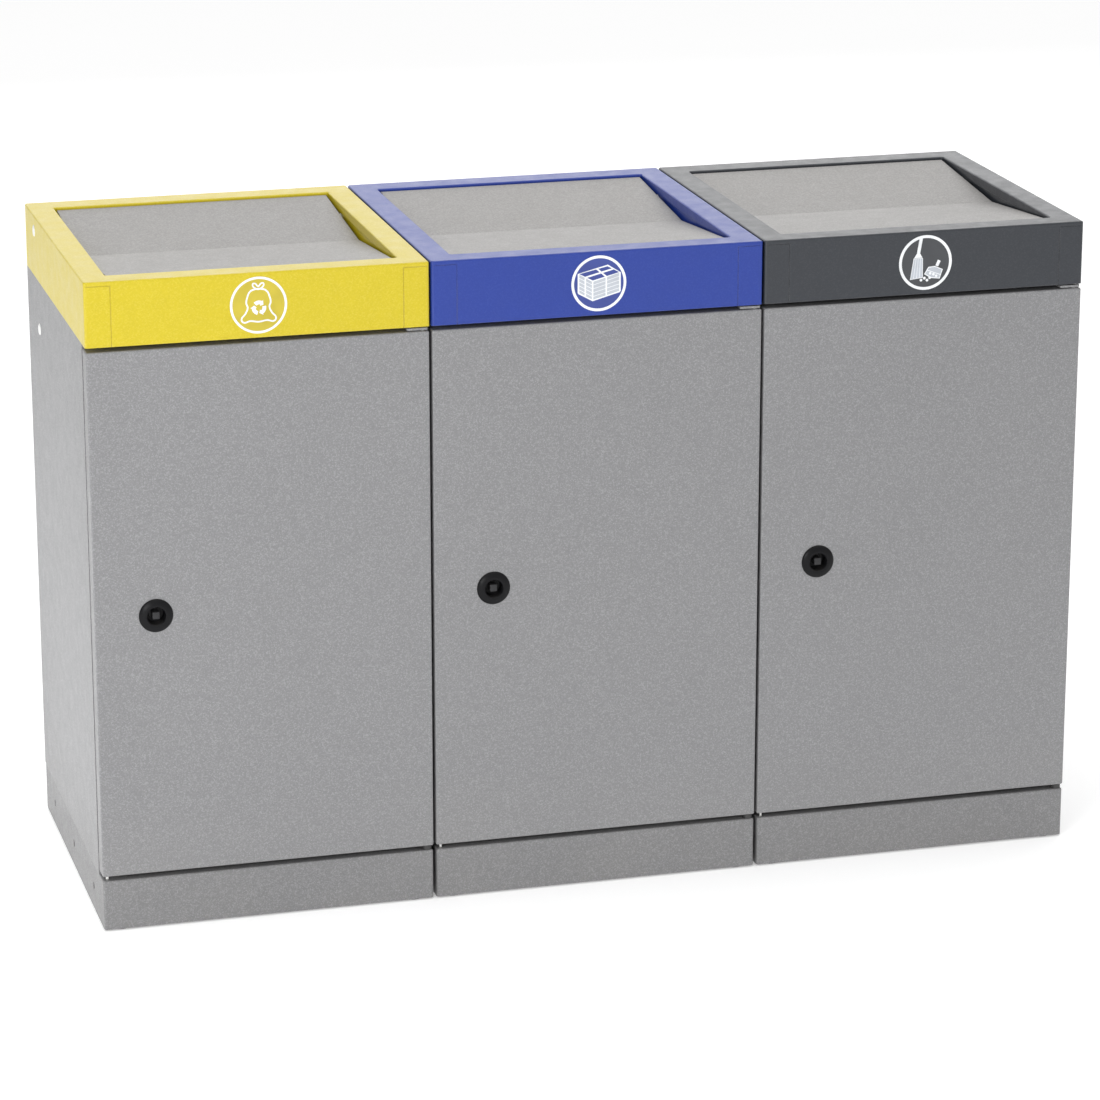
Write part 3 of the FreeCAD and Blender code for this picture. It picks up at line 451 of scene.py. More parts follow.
FINISHES = {
    "body_paint": silver_powder("Silver powder on cabinets and doors", (0.248, 0.248, 0.254)),
    "plinth_paint": silver_powder("Silver powder on plinths", (0.208, 0.208, 0.213)),
    "yellow_paint": coloured_powder("Yellow powder", PAINTS["yellow"], (0.95, 0.85, 0.25)),
    "blue_paint": coloured_powder("Blue powder", PAINTS["blue"], (0.07, 0.13, 0.46)),
    "grey_paint": coloured_powder("Slate powder", PAINTS["grey"], (0.11, 0.12, 0.13)),
    "flap_metal": flap_finish(),
    "galvanised": zinc_finish(),
    "bright_steel": drawn("Bright zinc plate", (0.66, 0.66, 0.64), (40.0, 700.0, 700.0), 0.26, 1.0),
    "lock_black": moulded(
        "Black lock body", (0.007, 0.007, 0.008), 0.36, 0.02, 1300.0, Specular_IOR_Level=0.15
    ),
    "lock_steel": drawn("Blacked key square", (0.030, 0.030, 0.032), (900.0, 60.0, 900.0), 0.42, 0.3),
    "black_nylon": moulded("Black nylon", (0.022, 0.022, 0.024), 0.48, 0.03),
    "black_rubber": moulded("Black rubber", (0.016, 0.016, 0.016), 0.72, 0.05, 700.0),
    "pale_nylon": moulded("Pale nylon", (0.82, 0.82, 0.80), 0.42, 0.015),
    "white_film": moulded("White print", (0.84, 0.86, 0.88), 0.38, 0.006, 1500.0),
}


def film_over(stream, paint):
    """The clear carrier of a pictogram, as it looks on a stream's paint: a little duller and paler."""
    shade = tuple(0.80 * part + 0.035 for part in paint) + (1,)
    surface = {"Plastic": shade, "Grain Scale": 900.0, "Roughness": 0.34}
    return finish("Film on " + stream, (MOULDING, surface), 0.006 * MM)


FILMS = {stream: film_over(stream, paint) for stream, paint in PAINTS.items()}
SHADED_PRINT = moulded("Shaded print", (0.50, 0.53, 0.58), 0.40, 0.006, 1500.0)


# --- Shapes ---


def soften(shape, width, segments=2, over=35.0):
    """Small roundings on the edges that turn by more than an angle."""
    limit = math.radians(over)
    sharp = [edge for edge in shape.edges if edge.is_manifold and edge.calc_face_angle() > limit]
    bmesh.ops.bevel(
        shape, geom=sharp, offset=width, offset_type="OFFSET", segments=segments, profile=0.5,
        affect="EDGES", material=-1, clamp_overlap=True,
    )


def turned(profile, centre, axis, steps=48):
    """An outline of (radius, reach along the axis), closed or ending on the axis, spun about it."""
    shape = bmesh.new()
    across = axis.orthogonal().normalized()
    corners = [shape.verts.new(centre + across * radius + axis * reach) for radius, reach in profile]
    outline = [shape.edges.new(pair) for pair in zip(corners, corners[1:])]
    on_axis = profile[0][0] == 0 and profile[-1][0] == 0
    if not on_axis:
        outline.append(shape.edges.new((corners[-1], corners[0])))
    bmesh.ops.spin(
        shape, geom=corners + outline, cent=centre, axis=axis, angle=2 * math.pi, steps=steps,
        use_merge=True,
    )
    bmesh.ops.remove_doubles(shape, verts=shape.verts, dist=MERGE)
    bmesh.ops.dissolve_degenerate(shape, edges=shape.edges, dist=MERGE)
    bmesh.ops.recalc_face_normals(shape, faces=shape.faces)
    return shape


def prism(corners, depth):
    """A flat outline given a thickness along a vector."""
    shape = bmesh.new()
    face = shape.faces.new([shape.verts.new(corner) for corner in corners])
    pushed = bmesh.ops.extrude_face_region(shape, geom=[face])
    moved = [item for item in pushed["geom"] if isinstance(item, bmesh.types.BMVert)]
    bmesh.ops.translate(shape, verts=moved, vec=depth)
    bmesh.ops.recalc_face_normals(shape, faces=shape.faces)
    return shape


def hex_nut(flats, bore, start, axis, length):
    """A hexagonal nut with a round hole and softened edges."""
    shape = bmesh.new()
    sides = 6
    steps = 8
    bmesh.ops.create_circle(shape, segments=sides, radius=flats / math.sqrt(3))
    bmesh.ops.subdivide_edges(shape, edges=shape.edges[:], cuts=steps - 1)
    bmesh.ops.create_circle(shape, segments=sides * steps, radius=bore)
    bmesh.ops.bridge_loops(shape, edges=shape.edges[:])
    pushed = bmesh.ops.extrude_face_region(shape, geom=shape.faces[:])
    moved = [item for item in pushed["geom"] if isinstance(item, bmesh.types.BMVert)]
    bmesh.ops.translate(shape, verts=moved, vec=UP * length)
    bmesh.ops.recalc_face_normals(shape, faces=shape.faces)
    soften(shape, NUT_EDGE_R)
    facing = UP.rotation_difference(axis).to_matrix().to_4x4()
    bmesh.ops.transform(shape, matrix=Matrix.Translation(start) @ facing, verts=shape.verts)
    return shape


def cut_box(low, high):
    """A plain block between two corners."""
    shape = bmesh.new()
    bmesh.ops.create_cube(shape, size=1.0)
    bmesh.ops.scale(shape, vec=high - low, verts=shape.verts)
    bmesh.ops.translate(shape, verts=shape.verts, vec=(low + high) / 2)
    return shape


def gather(shapes):
    """Several shapes in one, each still closed."""
    whole = bmesh.new()
    for shape in shapes:
        part = bpy.data.meshes.new("part")
        shape.to_mesh(part)
        shape.free()
        whole.from_mesh(part)
        bpy.data.meshes.remove(part)
    return whole


def drawn_line(points, width, thickness, closed=False, smooth=True):
    """A flat printed line through points on the front of a hood."""
    curve = bpy.data.curves.new("line", "CURVE")
    curve.dimensions = "3D"
    curve.bevel_depth = width / 2
    curve.bevel_resolution = 3
    curve.resolution_u = 8
    curve.use_fill_caps = True
    kind = "AUTO" if smooth else "VECTOR"
    run = curve.splines.new("BEZIER")
    run.bezier_points.add(len(points) - 1)
    for knot, point in zip(run.bezier_points, points):
        knot.co = point
        knot.handle_left_type = kind
        knot.handle_right_type = kind
    run.use_cyclic_u = closed
    holder = bpy.data.objects.new("line", curve)
    mesh = bpy.data.meshes.new_from_object(holder)
    shape = bmesh.new()
    shape.from_mesh(mesh)
    middle = points[0].y
    squash = Matrix.Diagonal((1, thickness / width, 1, 1))
    shift = Matrix.Translation((0, middle, 0))
    bmesh.ops.transform(shape, matrix=shift @ squash @ shift.inverted(), verts=shape.verts)
    bmesh.ops.remove_doubles(shape, verts=shape.verts, dist=MERGE)
    bmesh.ops.recalc_face_normals(shape, faces=shape.faces)
    bpy.data.objects.remove(holder)
    bpy.data.curves.remove(curve)
    bpy.data.meshes.remove(mesh)
    return shape


def put(name, shape, material, body, replaced=(), crisp=32.0):
    """A finished piece in the scene, on its body."""
    limit = math.radians(crisp)
    for face in shape.faces:
        face.smooth = True
    for edge in shape.edges:
        edge.smooth = edge.is_manifold and edge.calc_face_angle() < limit
    mesh = bpy.data.meshes.new(name)
    shape.to_mesh(mesh)
    shape.free()
    mesh.materials.append(material)
    piece = bpy.data.objects.new(name, mesh)
    bpy.context.scene.collection.objects.link(piece)
    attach(piece, body)
    if replaced:
        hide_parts(*replaced)
    return piece


# --- Places read from the model ---


def corners_of(node):
    """The lowest and the highest corner of a CAD node's box."""
    low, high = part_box(node)
    return Vector(low), Vector(high)


def middle_of(node):
    """The middle of a CAD node's box."""
    low, high = corners_of(node)
    return (low + high) / 2


# --- Lock ---

RECESS_R = 9.8 * MM
RECESS_DEPTH = 8.6 * MM
BARREL_R = 12.0 * MM
SHAFT_HOLE_R = 6.1 * MM
SHAFT_HOLE_START = 9.4 * MM
SHAFT_R = 6.0 * MM
SHAFT_START = 9.6 * MM
SHAFT_END_R = 4.6 * MM
SHAFT_CHAMFER = 1.2 * MM
KEY_SIZE = 8.0 * MM
KEY_REACH = 10.0 * MM
DOOR_SHEET = 1.5 * MM
NUT_FLATS = 30.0 * MM
NUT_LENGTH = 5.0 * MM
NUT_CLEARANCE = 0.1 * MM
BODY_EDGE_R = 0.18 * MM
BODY_STEPS = 72
KEY_EDGE_R = 0.7 * MM
NUT_EDGE_R = 0.5 * MM


def lock_centre(stream):
    """The point where a lock's axis meets the front of its door."""
    door_front = corners_of(stream + "_door")[0].y
    low, high = corners_of(stream + "_lock_housing")
    return Vector(((low.x + high.x) / 2, door_front, (low.z + high.z) / 2))


def lock_body(stream):
    """The domed escutcheon with its recess, and the barrel that passes through the door."""
    centre = lock_centre(stream)
    low, high = corners_of(stream + "_lock_housing")
    front = low.y - centre.y
    reach = high.y - centre.y
    dome_r = (high.x - low.x) / 2
    profile = [
        (RECESS_R, RECESS_DEPTH),
        (RECESS_R, front + 1.0 * MM),
        (RECESS_R + 0.8 * MM, front + 0.15 * MM),
        (RECESS_R + 2.0 * MM, front),
        (RECESS_R + 3.6 * MM, front + 0.35 * MM),
        (dome_r - 3.0 * MM, front + 1.3 * MM),
        (dome_r - 1.2 * MM, front + 2.3 * MM),
        (dome_r - 0.25 * MM, -0.8 * MM),
        (dome_r, -0.35 * MM),
        (dome_r, 0.0),
        (BARREL_R, 0.0),
        (BARREL_R, reach),
        (SHAFT_HOLE_R, reach),
        (SHAFT_HOLE_R, SHAFT_HOLE_START),
        (RECESS_R - 0.8 * MM, SHAFT_HOLE_START),
    ]
    body = turned(profile, centre, BACK, BODY_STEPS)
    soften(body, BODY_EDGE_R, over=40.0)
    put(stream + "_lock_body", body, FINISHES["lock_black"], stream + "_door",
        [stream + "_lock_housing"])


def barrel_nut(stream):
    """The nut that holds the barrel, against the inside of the door."""
    start = lock_centre(stream) + BACK * DOOR_SHEET
    nut = hex_nut(NUT_FLATS, BARREL_R + NUT_CLEARANCE, start, BACK, NUT_LENGTH)
    put(stream + "_barrel_nut", nut, FINISHES["bright_steel"], stream + "_door",
        [stream + "_lock_housing"])


def key_square(stream):
    """The square that the key turns, and the round shaft behind it."""
    centre = lock_centre(stream)
    low, high = corners_of(stream + "_lock_spindle")
    half = KEY_SIZE / 2
    square = cut_box(
        Vector((centre.x - half, low.y, centre.z - half)),
        Vector((centre.x + half, centre.y + KEY_REACH, centre.z + half)),
    )
    soften(square, KEY_EDGE_R, 3)
    reach = high.y - centre.y
    outline = [
        (0, reach), (SHAFT_END_R, reach), (SHAFT_R, reach - SHAFT_CHAMFER), (SHAFT_R, SHAFT_START),
        (0, SHAFT_START),
    ]
    shaft = turned(outline, centre, BACK)
    put(stream + "_key_square", gather([square, shaft]), FINISHES["lock_steel"], stream + "_lock",
        [stream + "_lock_spindle"])


# --- Pictograms ---

FILM_DEPTH = 0.12 * MM
PRINT_DEPTH = 0.34 * MM
SHADED_DEPTH = 0.08 * MM
RING_ROOT = 0.05 * MM
RING_STEPS = 96


class Badge:
    """The round print on one hood, drawn in millimetres from its centre."""

    def __init__(self, stream):
        face = corners_of(stream + "_hood")[0].y
        film_low, film_high = corners_of("pictogram_films")
        self.centre = Vector((middle_of(stream + "_hood").x, face, (film_low.z + film_high.z) / 2))
        self.radius = (film_high.z - film_low.z) / 2
        self.shapes = []
        self.shaded = []

    def at(self, across, up):
        """The place of a point of the drawing, on the front of the film."""
        return self.centre + Vector((across * MM, -FILM_DEPTH, up * MM))

    def line(self, points, width, closed=False, smooth=True):
        """A printed line, curved through its points or straight between them."""
        places = [self.at(across, up) for across, up in points]
        self.shapes.append(drawn_line(places, width * MM, PRINT_DEPTH, closed, smooth))

    def area(self, points):
        """A printed area inside an outline."""
        places = [self.at(across, up) for across, up in points]
        self.shapes.append(prism(places, Vector((0, -PRINT_DEPTH / 2, 0))))

    def shade(self, points):
        """A greyer area, lower than the lines that are drawn over it."""
        places = [self.at(across, up) for across, up in points]
        self.shaded.append(prism(places, Vector((0, -SHADED_DEPTH, 0))))

    def ring(self, width):
        """The printed ring along the film's edge."""
        outer = self.radius
        inner = outer - width * MM
        front = -FILM_DEPTH - PRINT_DEPTH / 2
        profile = [(inner, -RING_ROOT), (inner, front), (outer, front), (outer, -RING_ROOT)]
        self.shapes.append(turned(profile, self.centre, BACK, RING_STEPS))

    def film(self):
        """The round film that carries the print."""
        profile = [(0, 0), (self.radius, 0), (self.radius, -FILM_DEPTH), (0, -FILM_DEPTH)]
        return turned(profile, self.centre, BACK, RING_STEPS)


def polar(centre, radius, degrees):
    """The point at a distance and an angle from a centre."""
    angle = math.radians(degrees)
    return (centre[0] + radius * math.cos(angle), centre[1] + radius * math.sin(angle))


def arc(centre, radius, start, end, steps=8):
    """Points along an arc, with its angles in degrees."""
    return [polar(centre, radius, start + (end - start) * step / steps) for step in range(steps + 1)]


def mirrored(points):
    """A half outline followed by its mirror image, so that it closes."""
    return points + [(-across, up) for across, up in reversed(points) if across]


def draw_tied_bag(badge):
    """A tied sack with three chasing arrows on it, for packaging."""
    half = [
        (3.0, 17.2), (8.8, 14.8), (12.0, 8.2), (13.0, 2.6), (11.6, -2.2), (14.0, -8.4), (18.4, -14.8),
        (16.4, -17.8), (9.0, -16.7), (0.0, -17.9),
    ]
    badge.line(mirrored(half), 1.9, closed=True)
    bow = [(-1.8, 17.4), (-5.8, 22.8), (-3.2, 23.2), (0.0, 20.2), (3.2, 23.2), (5.8, 22.8), (1.8, 17.4)]
    badge.line(bow, 1.7, closed=True)
    hub = (0.4, -2.9)
    path_r = 5.7
    for turn in (90.0, 210.0, 330.0):
        badge.line(arc(hub, path_r, turn + 46.0, turn - 34.0), 4.4)
        tip = polar(hub, path_r, turn - 58.0)
        inner_barb = polar(hub, path_r - 3.5, turn - 28.0)
        outer_barb = polar(hub, path_r + 3.7, turn - 28.0)
        badge.area([tip, inner_barb, outer_barb])


def between(first, second, share):
    """The point that lies a share of the way from one to another."""
    return tuple(a + (b - a) * share for a, b in zip(first, second))


def draw_paper_stack(badge):
    """A stack of paper tied with a cross of string."""
    left, rear, right, front = (-22.5, 11.5), (9.8, 19.0), (23.4, 10.8), (-6.9, 2.6)
    height = 21.0
    for start, end in ((left, front), (front, right)):
        badge.shade([start, end, (end[0], end[1] - height), (start[0], start[1] - height)])
        for share in (0.2, 0.4, 0.6, 0.8):
            drop = height * share
            sheet = [(start[0], start[1] - drop), (end[0], end[1] - drop)]
            badge.line(sheet, 0.7, smooth=False)
    badge.line([left, rear, right, front], 1.9, closed=True, smooth=False)
    across = (between(left, front, 0.48), between(rear, right, 0.48))
    along = (between(left, rear, 0.62), between(front, right, 0.50))
    badge.line(across, 2.0, smooth=False)
    badge.line(along, 2.0, smooth=False)
    for top in (across[0], along[1], left, right, front):
        badge.line([top, (top[0], top[1] - height)], 2.0, smooth=False)
    bottom = [(corner[0], corner[1] - height) for corner in (left, front, right)]
    badge.line(bottom, 1.8, smooth=False)


def draw_broom(badge):
    """A broom beside a dustpan of sweepings, for mixed waste."""
    badge.line([(-5.4, 27.4), (-8.2, 11.0)], 3.9, smooth=False)
    badge.area([(-9.8, 11.0), (-6.6, 11.0), (-3.6, 5.6), (-13.2, 5.6)])
    head = [(-13.4, 4.9), (-3.4, 4.9), (-3.0, -16.4), (-17.0, -18.2)]
    badge.shade(head)
    badge.line(head, 1.0, closed=True, smooth=False)
    for share in (0.25, 0.5, 0.75):
        bristle = [between(head[0], head[1], share), between(head[3], head[2], share)]
        badge.line(bristle, 0.5, smooth=False)
    badge.line([(16.0, 1.6), (13.2, -4.6)], 3.8, smooth=False)
    pan = [(-0.6, -12.8), (3.8, -5.6), (11.0, -5.0), (19.8, -8.8), (16.6, -18.4), (7.0, -17.2)]
    badge.shade(pan)
    badge.line(pan, 1.3, closed=True, smooth=False)
    crease = [between(pan[0], pan[1], 0.6), between(pan[4], pan[3], 0.4)]
    badge.line(crease, 1.0, smooth=False)
    crumbs = [
        (-4.6, -19.4), (-0.8, -17.4), (2.4, -19.8), (5.4, -17.2), (5.8, -12.4), (9.6, -13.6),
        (12.8, -15.6),
    ]
    for crumb in crumbs:
        badge.line(arc(crumb, 0.7, 0.0, 270.0, 3), 1.9, closed=True)


def pictograms():
    """Each hood's print, the film that carries it and any shaded areas."""
    # Each stream's drawing, and the width of its ring in millimetres.
    drawings = {
        "yellow": (draw_tied_bag, 2.6), "blue": (draw_paper_stack, 3.0), "grey": (draw_broom, 3.2),
    }
    for stream, (draw, ring_width) in drawings.items():
        badge = Badge(stream)
        badge.ring(ring_width)
        draw(badge)
        put(stream + "_badge_print", gather(badge.shapes), FINISHES["white_film"], "station",
            ["pictogram_films"])
        put(stream + "_badge_film", badge.film(), FILMS[stream], "station",
            ["pictogram_films"])
        if badge.shaded:
            put(stream + "_badge_shading", gather(badge.shaded), SHADED_PRINT, "station",
                ["pictogram_films"])


# --- Plugs and bushes ---

PLUG_R = 6.5 * MM
PLUG_PROUD = 1.5 * MM
PLUG_STEM_R = 4.0 * MM
PLUG_LENGTH = 7.0 * MM
HOOD_PLUG_FROM_BACK = 66.0 * MM
HOOD_PLUG_BELOW_TOP = 17.0 * MM
SIDE_PLUG_FROM_BACK = 84.0 * MM
SIDE_PLUG_BELOW_TOP = 125.0 * MM

BUSH_BORE_R = 3.55 * MM
BUSH_SLEEVE_R = 4.7 * MM
BUSH_SLEEVE_LENGTH = 2.7 * MM
BUSH_FLANGE_R = 5.6 * MM
BUSH_FLANGE_PROUD = 1.2 * MM
BUSH_CHAMFER = 0.4 * MM
FLAP_SIDE_GAP = 4.0 * MM


def side_plugs():
    """Domed plugs pressed into the free joining holes of the outer sides."""
    walls = (corners_of("yellow_hood")[0].x, corners_of("grey_hood")[1].x)
    cabinet_back = corners_of("yellow_carcass")[1].y
    hood_high = corners_of("yellow_hood")[1]
    holes = (
        (hood_high.y - HOOD_PLUG_FROM_BACK, hood_high.z - HOOD_PLUG_BELOW_TOP),
        (cabinet_back - SIDE_PLUG_FROM_BACK, hood_high.z - SIDE_PLUG_BELOW_TOP),
    )
    profile = [
        (0, -PLUG_PROUD), (2.4 * MM, -1.45 * MM), (4.4 * MM, -1.2 * MM), (5.8 * MM, -0.75 * MM),
        (PLUG_R, -0.15 * MM), (PLUG_R, 0), (PLUG_STEM_R, 0), (PLUG_STEM_R, PLUG_LENGTH - 1.4 * MM),
        (PLUG_STEM_R - 0.8 * MM, PLUG_LENGTH), (0, PLUG_LENGTH),
    ]
    shapes = []
    for wall, inward in zip(walls, (ALONG, -ALONG)):
        for back, up in holes:
            shapes.append(turned(profile, Vector((wall, back, up)), inward))
    put("side_plugs", gather(shapes), FINISHES["pale_nylon"], "station", ["hole_plugs"])


def flap_bearings():
    """The flanged bushes that each flap's axle turns in."""
    profile = [
        (BUSH_BORE_R, -BUSH_SLEEVE_LENGTH), (BUSH_SLEEVE_R, -BUSH_SLEEVE_LENGTH), (BUSH_SLEEVE_R, 0),
        (BUSH_FLANGE_R, 0), (BUSH_FLANGE_R, BUSH_FLANGE_PROUD - BUSH_CHAMFER),
        (BUSH_FLANGE_R - BUSH_CHAMFER, BUSH_FLANGE_PROUD), (BUSH_BORE_R, BUSH_FLANGE_PROUD),
    ]
    shapes = []
    for stream in STREAMS:
        axle = middle_of(stream + "_flap_axle")
        low, high = corners_of(stream + "_flap")
        walls = (low.x - FLAP_SIDE_GAP, high.x + FLAP_SIDE_GAP)
        for wall, inward in zip(walls, (ALONG, -ALONG)):
            shapes.append(turned(profile, Vector((wall, axle.y, axle.z)), inward, 40))
    put("flap_bearings", gather(shapes), FINISHES["pale_nylon"], "station",
        ["flap_bushes"])


# --- Inner bins ---

BIN_HEM = 5.0 * MM
BIN_CORNER_R = 15.0 * MM
BIN_FOOT_R = 3.0 * MM
BIN_SHEET = 1.0 * MM
BEAD_BELOW_RIM = 95.0 * MM
BEAD_STEP = 3.0 * MM
LEVEL_TOLERANCE = 0.1 * MM


def round_edges(shape, edges, radius, segments):
    """Edges made round, such as the corners of a folded sheet."""
    bmesh.ops.bevel(
        shape, geom=edges, offset=radius, offset_type="OFFSET", segments=segments, profile=0.5,
        affect="EDGES", material=-1,
    )


def level_with(corner, height):
    """Whether a corner lies at a height."""
    return abs(corner.co.z - height) < LEVEL_TOLERANCE


def widen(shape, corners, low, high, outward):
    """Corners moved outwards, away from the middle of a box."""
    size = high - low
    factor = Vector((1 + 2 * outward / size.x, 1 + 2 * outward / size.y, 1))
    bmesh.ops.scale(shape, vec=factor, verts=corners, space=Matrix.Translation(-(low + high) / 2))


def open_tub(low, high):
    """A box without a lid, with round corners and a round foot."""
    shape = cut_box(low, high)
    lid = [face for face in shape.faces if face.normal.z > 0.9]
    bmesh.ops.delete(shape, geom=lid, context="FACES_ONLY")
    upright = [edge for edge in shape.edges if abs(edge.verts[0].co.z - edge.verts[1].co.z) > BIN_HEM]
    round_edges(shape, upright, BIN_CORNER_R, 8)
    foot = [edge for edge in shape.edges if all(level_with(corner, low.z) for corner in edge.verts)]
    round_edges(shape, foot, BIN_FOOT_R, 3)
    return shape


def press_bead(shape, low, high):
    """A shallow stiffening bead pressed outwards all the way round."""
    bead = high.z - BEAD_BELOW_RIM
    for step in range(-2, 3):
        bmesh.ops.bisect_plane(
            shape, geom=shape.verts[:] + shape.edges[:] + shape.faces[:],
            plane_co=Vector((0, 0, bead + step * BEAD_STEP)), plane_no=UP,
        )
    for step, proud in ((-1, 1.2 * MM), (0, 1.8 * MM), (1, 1.2 * MM)):
        level = bead + step * BEAD_STEP
        widen(shape, [corner for corner in shape.verts if level_with(corner, level)], low, high, proud)


def turn_rim(shape, low, high):
    """The rim folded outwards and down."""
    rim = [edge for edge in shape.edges if edge.is_boundary]
    for outward, drop in ((1.2, 0.0), (2.8, 0.0), (1.0, 1.4), (0.0, 6.0)):
        grown = bmesh.ops.extrude_edge_only(shape, edges=rim)["geom"]
        corners = [item for item in grown if isinstance(item, bmesh.types.BMVert)]
        rim = [item for item in grown if isinstance(item, bmesh.types.BMEdge)]
        widen(shape, corners, low, high, outward * MM)
        bmesh.ops.translate(shape, verts=corners, vec=Vector((0, 0, -drop * MM)))


def inner_bin(stream):
    """A folded sheet bin: rounded corners, a stiffening bead and a rim turned out and down."""
    low, high = corners_of(stream + "_inner_bin")
    hem = Vector((BIN_HEM, BIN_HEM, 0))
    body_low = low + hem
    body_high = high - hem
    shape = open_tub(body_low, body_high)
    press_bead(shape, body_low, body_high)
    turn_rim(shape, body_low, body_high)
    bmesh.ops.recalc_face_normals(shape, faces=shape.faces)
    piece = put(stream + "_bin", shape, FINISHES["galvanised"], "station",
                [stream + "_inner_bin"], crisp=50.0)
    wall = piece.modifiers.new("Sheet", "SOLIDIFY")
    wall.thickness = BIN_SHEET
    wall.offset = -1.0


# --- Spot welds ---

WELD_R = 3.2 * MM
WELD_PROUD = 0.3 * MM
WELD_DISH = 0.12 * MM
WELDS_IN_A_ROW = 8
WELD_FROM_EDGE = 6.0 * MM
WELD_FROM_END = 20.0 * MM
STIFFENER_SHEET = 1.2 * MM


def weld_row(start, end, count, normal):
    """A row of shallow, dished spot-weld marks."""
    profile = [
        (0, WELD_DISH), (1.5 * MM, WELD_DISH), (2.1 * MM, WELD_PROUD), (2.7 * MM, WELD_PROUD),
        (WELD_R, 0.0), (0, 0.0),
    ]
    return [turned(profile, start.lerp(end, mark / (count - 1)), normal, 16) for mark in range(count)]


def door_welds(stream):
    """Weld marks on both feet of the stiffener inside a door."""
    low, high = corners_of(stream + "_door_stiffener")
    inside = low.y + STIFFENER_SHEET
    marks = []
    for across in (low.x + WELD_FROM_EDGE, high.x - WELD_FROM_EDGE):
        start = Vector((across, inside, low.z + WELD_FROM_END))
        end = Vector((across, inside, high.z - WELD_FROM_END))
        marks += weld_row(start, end, WELDS_IN_A_ROW, BACK)
    put(stream + "_door_welds", gather(marks), FINISHES["body_paint"], stream + "_door")


# --- Station ---

for subpart in frame["record"]["subparts"]:
    node = frame["nodes"][subpart["node"]]
    node.data.materials.clear()
    node.data.materials.append(FINISHES[subpart["material_slot"]])

pictograms()
side_plugs()
flap_bearings()
for stream in STREAMS:
    lock_body(stream)
    barrel_nut(stream)
    key_square(stream)
    inner_bin(stream)
    door_welds(stream)


# --- Floor, light and camera ---

# Places are in metres, angles in degrees, and the lens and its sensor in millimetres.
FLOOR_HALF_WIDTH = 20.0
FLOOR_GLOW = 0.34
SKY_STRENGTH = 0.73
SKY_SHADE = 0.62
BACKDROP_STRENGTH = 1.0
CAMERA_PLACE = (-1.221, -4.452, 1.737)
CAMERA_TILT = 73.04
CAMERA_TURN = -15.34
SENSOR_WIDTH = 36.0
FOCAL_LENGTH = 139.2


def studio_floor():
    """A wide, pale, matt floor with a little light of its own."""
    shape = bmesh.new()
    bmesh.ops.create_grid(shape, x_segments=1, y_segments=1, size=FLOOR_HALF_WIDTH)
    mesh = bpy.data.meshes.new("studio_floor")
    shape.to_mesh(mesh)
    shape.free()
    floor = bpy.data.objects.new("studio_floor", mesh)
    bpy.context.scene.collection.objects.link(floor)
    material = bpy.data.materials.new("Pale studio floor")
    material.use_nodes = True
    tree = material.node_tree
    shader = tree.nodes["Principled BSDF"]
    cloud = noise(tree, object_place(tree), 1.5, 3.0)
    colour = blend_colour(tree, cloud, (0.93, 0.93, 0.93, 1), (0.95, 0.95, 0.95, 1))
    tree.links.new(colour, shader.inputs["Base Color"])
    shader.inputs["Roughness"].default_value = 0.9
    shader.inputs["Specular IOR Level"].default_value = 0.1
    shader.inputs["Emission Color"].default_value = (1.0, 1.0, 1.0, 1)
    shader.inputs["Emission Strength"].default_value = FLOOR_GLOW
    mesh.materials.append(material)


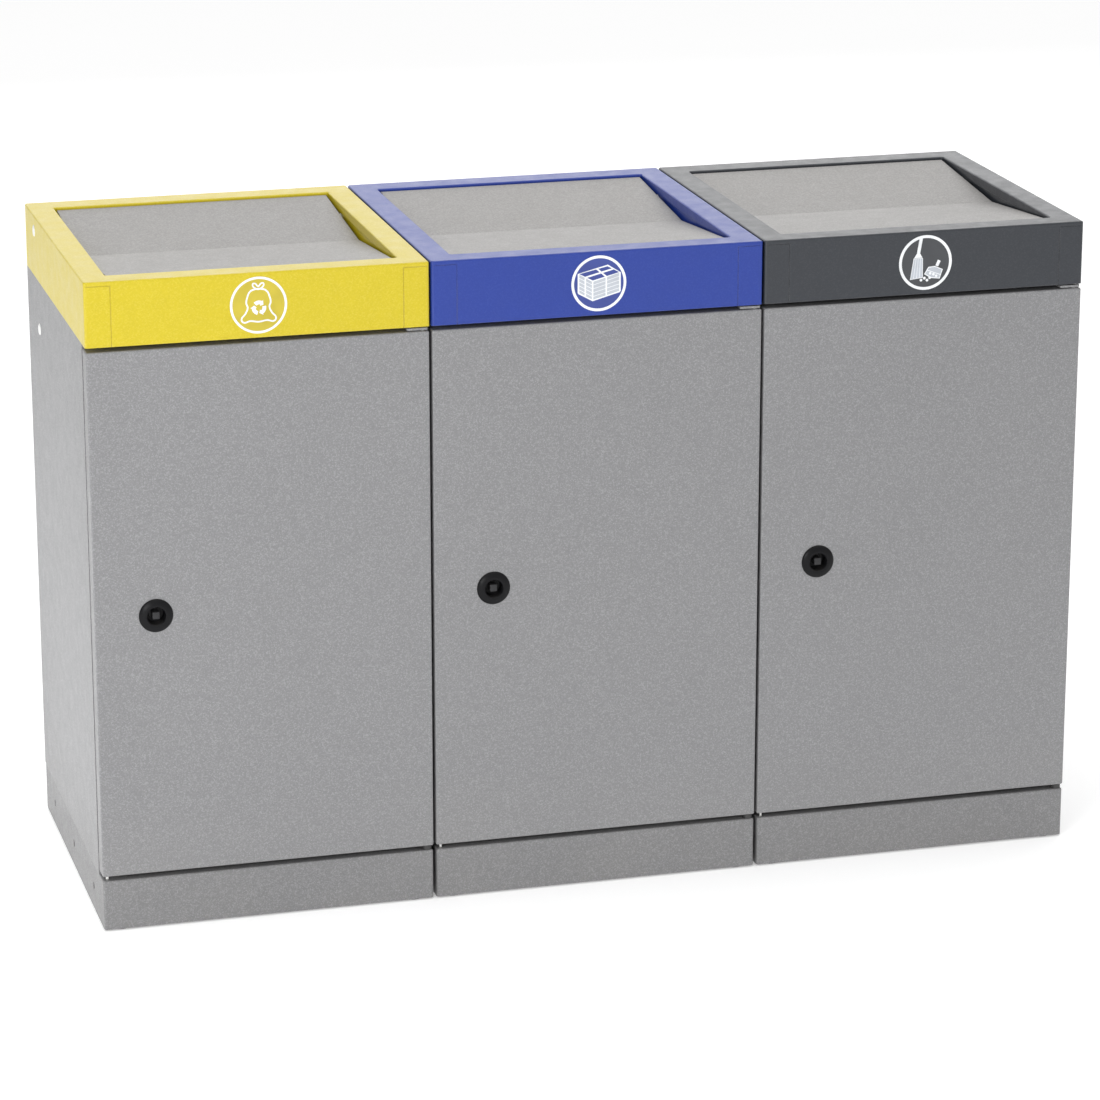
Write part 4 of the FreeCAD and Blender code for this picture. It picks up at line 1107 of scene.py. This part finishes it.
def soft_light(name, place, target, width, height, power, beam=180.0):
    """A soft box aimed at a target, with its power in watts and its beam in degrees."""
    lamp = bpy.data.lights.new(name, "AREA")
    lamp.shape = "RECTANGLE"
    lamp.size = width
    lamp.size_y = height
    lamp.energy = power
    lamp.spread = math.radians(beam)
    holder = bpy.data.objects.new(name, lamp)
    holder.location = place
    holder.rotation_euler = (Vector(target) - Vector(place)).to_track_quat("-Z", "Y").to_euler()
    holder.visible_camera = False
    bpy.context.scene.collection.objects.link(holder)


def studio_light():
    """A pale room, dark low down on the left, with a white backdrop and four soft boxes."""
    world = bpy.data.worlds.new("Studio")
    world.use_nodes = True
    tree = world.node_tree
    sky = tree.nodes["Background"]
    sky.inputs["Color"].default_value = (1.0, 1.0, 1.0, 1)
    towards = add(tree, "ShaderNodeTexCoord").outputs["Generated"]
    parts = add(tree, "ShaderNodeSeparateXYZ", {0: towards}).outputs
    left = spread(tree, parts["X"], -0.1, -0.6, 0.0, SKY_SHADE)
    low = spread(tree, parts["Z"], 0.35, 0.75, 1.0, 0.0)
    shade = sums(tree, "MULTIPLY", left, low)
    lit = sums(tree, "SUBTRACT", SKY_STRENGTH, shade)
    seen = add(tree, "ShaderNodeLightPath").outputs["Is Camera Ray"]
    backdrop = sums(tree, "MULTIPLY", seen, sums(tree, "SUBTRACT", BACKDROP_STRENGTH, lit))
    tree.links.new(sums(tree, "ADD", lit, backdrop), sky.inputs["Strength"])
    bpy.context.scene.world = world
    soft_light("front left", (-1.9, -2.6, 1.3), (-0.4, -0.2, 0.4), 1.0, 1.0, 36.0)
    soft_light("rear", (0.3, 4.2, 1.9), (0.0, 0.0, 0.7), 5.0, 1.6, 30.0)
    soft_light("overhead", (0.0, 0.2, 3.2), (0.0, 0.0, 0.7), 2.4, 1.6, 24.0)
    soft_light("left low", (-1.5, 0.0, 0.30), (-0.555, 0.02, 0.20), 0.5, 0.4, 0.85, 70.0)


def camera():
    """A long lens, in front of the station, to its left and above it."""
    lens = bpy.data.cameras.new("camera")
    lens.sensor_width = SENSOR_WIDTH
    lens.lens = FOCAL_LENGTH
    holder = bpy.data.objects.new("camera", lens)
    holder.location = CAMERA_PLACE
    holder.rotation_euler = (math.radians(CAMERA_TILT), 0.0, math.radians(CAMERA_TURN))
    bpy.context.scene.collection.objects.link(holder)
    bpy.context.scene.camera = holder


studio_floor()
studio_light()
camera()
bpy.context.scene.view_settings.view_transform = "Standard"
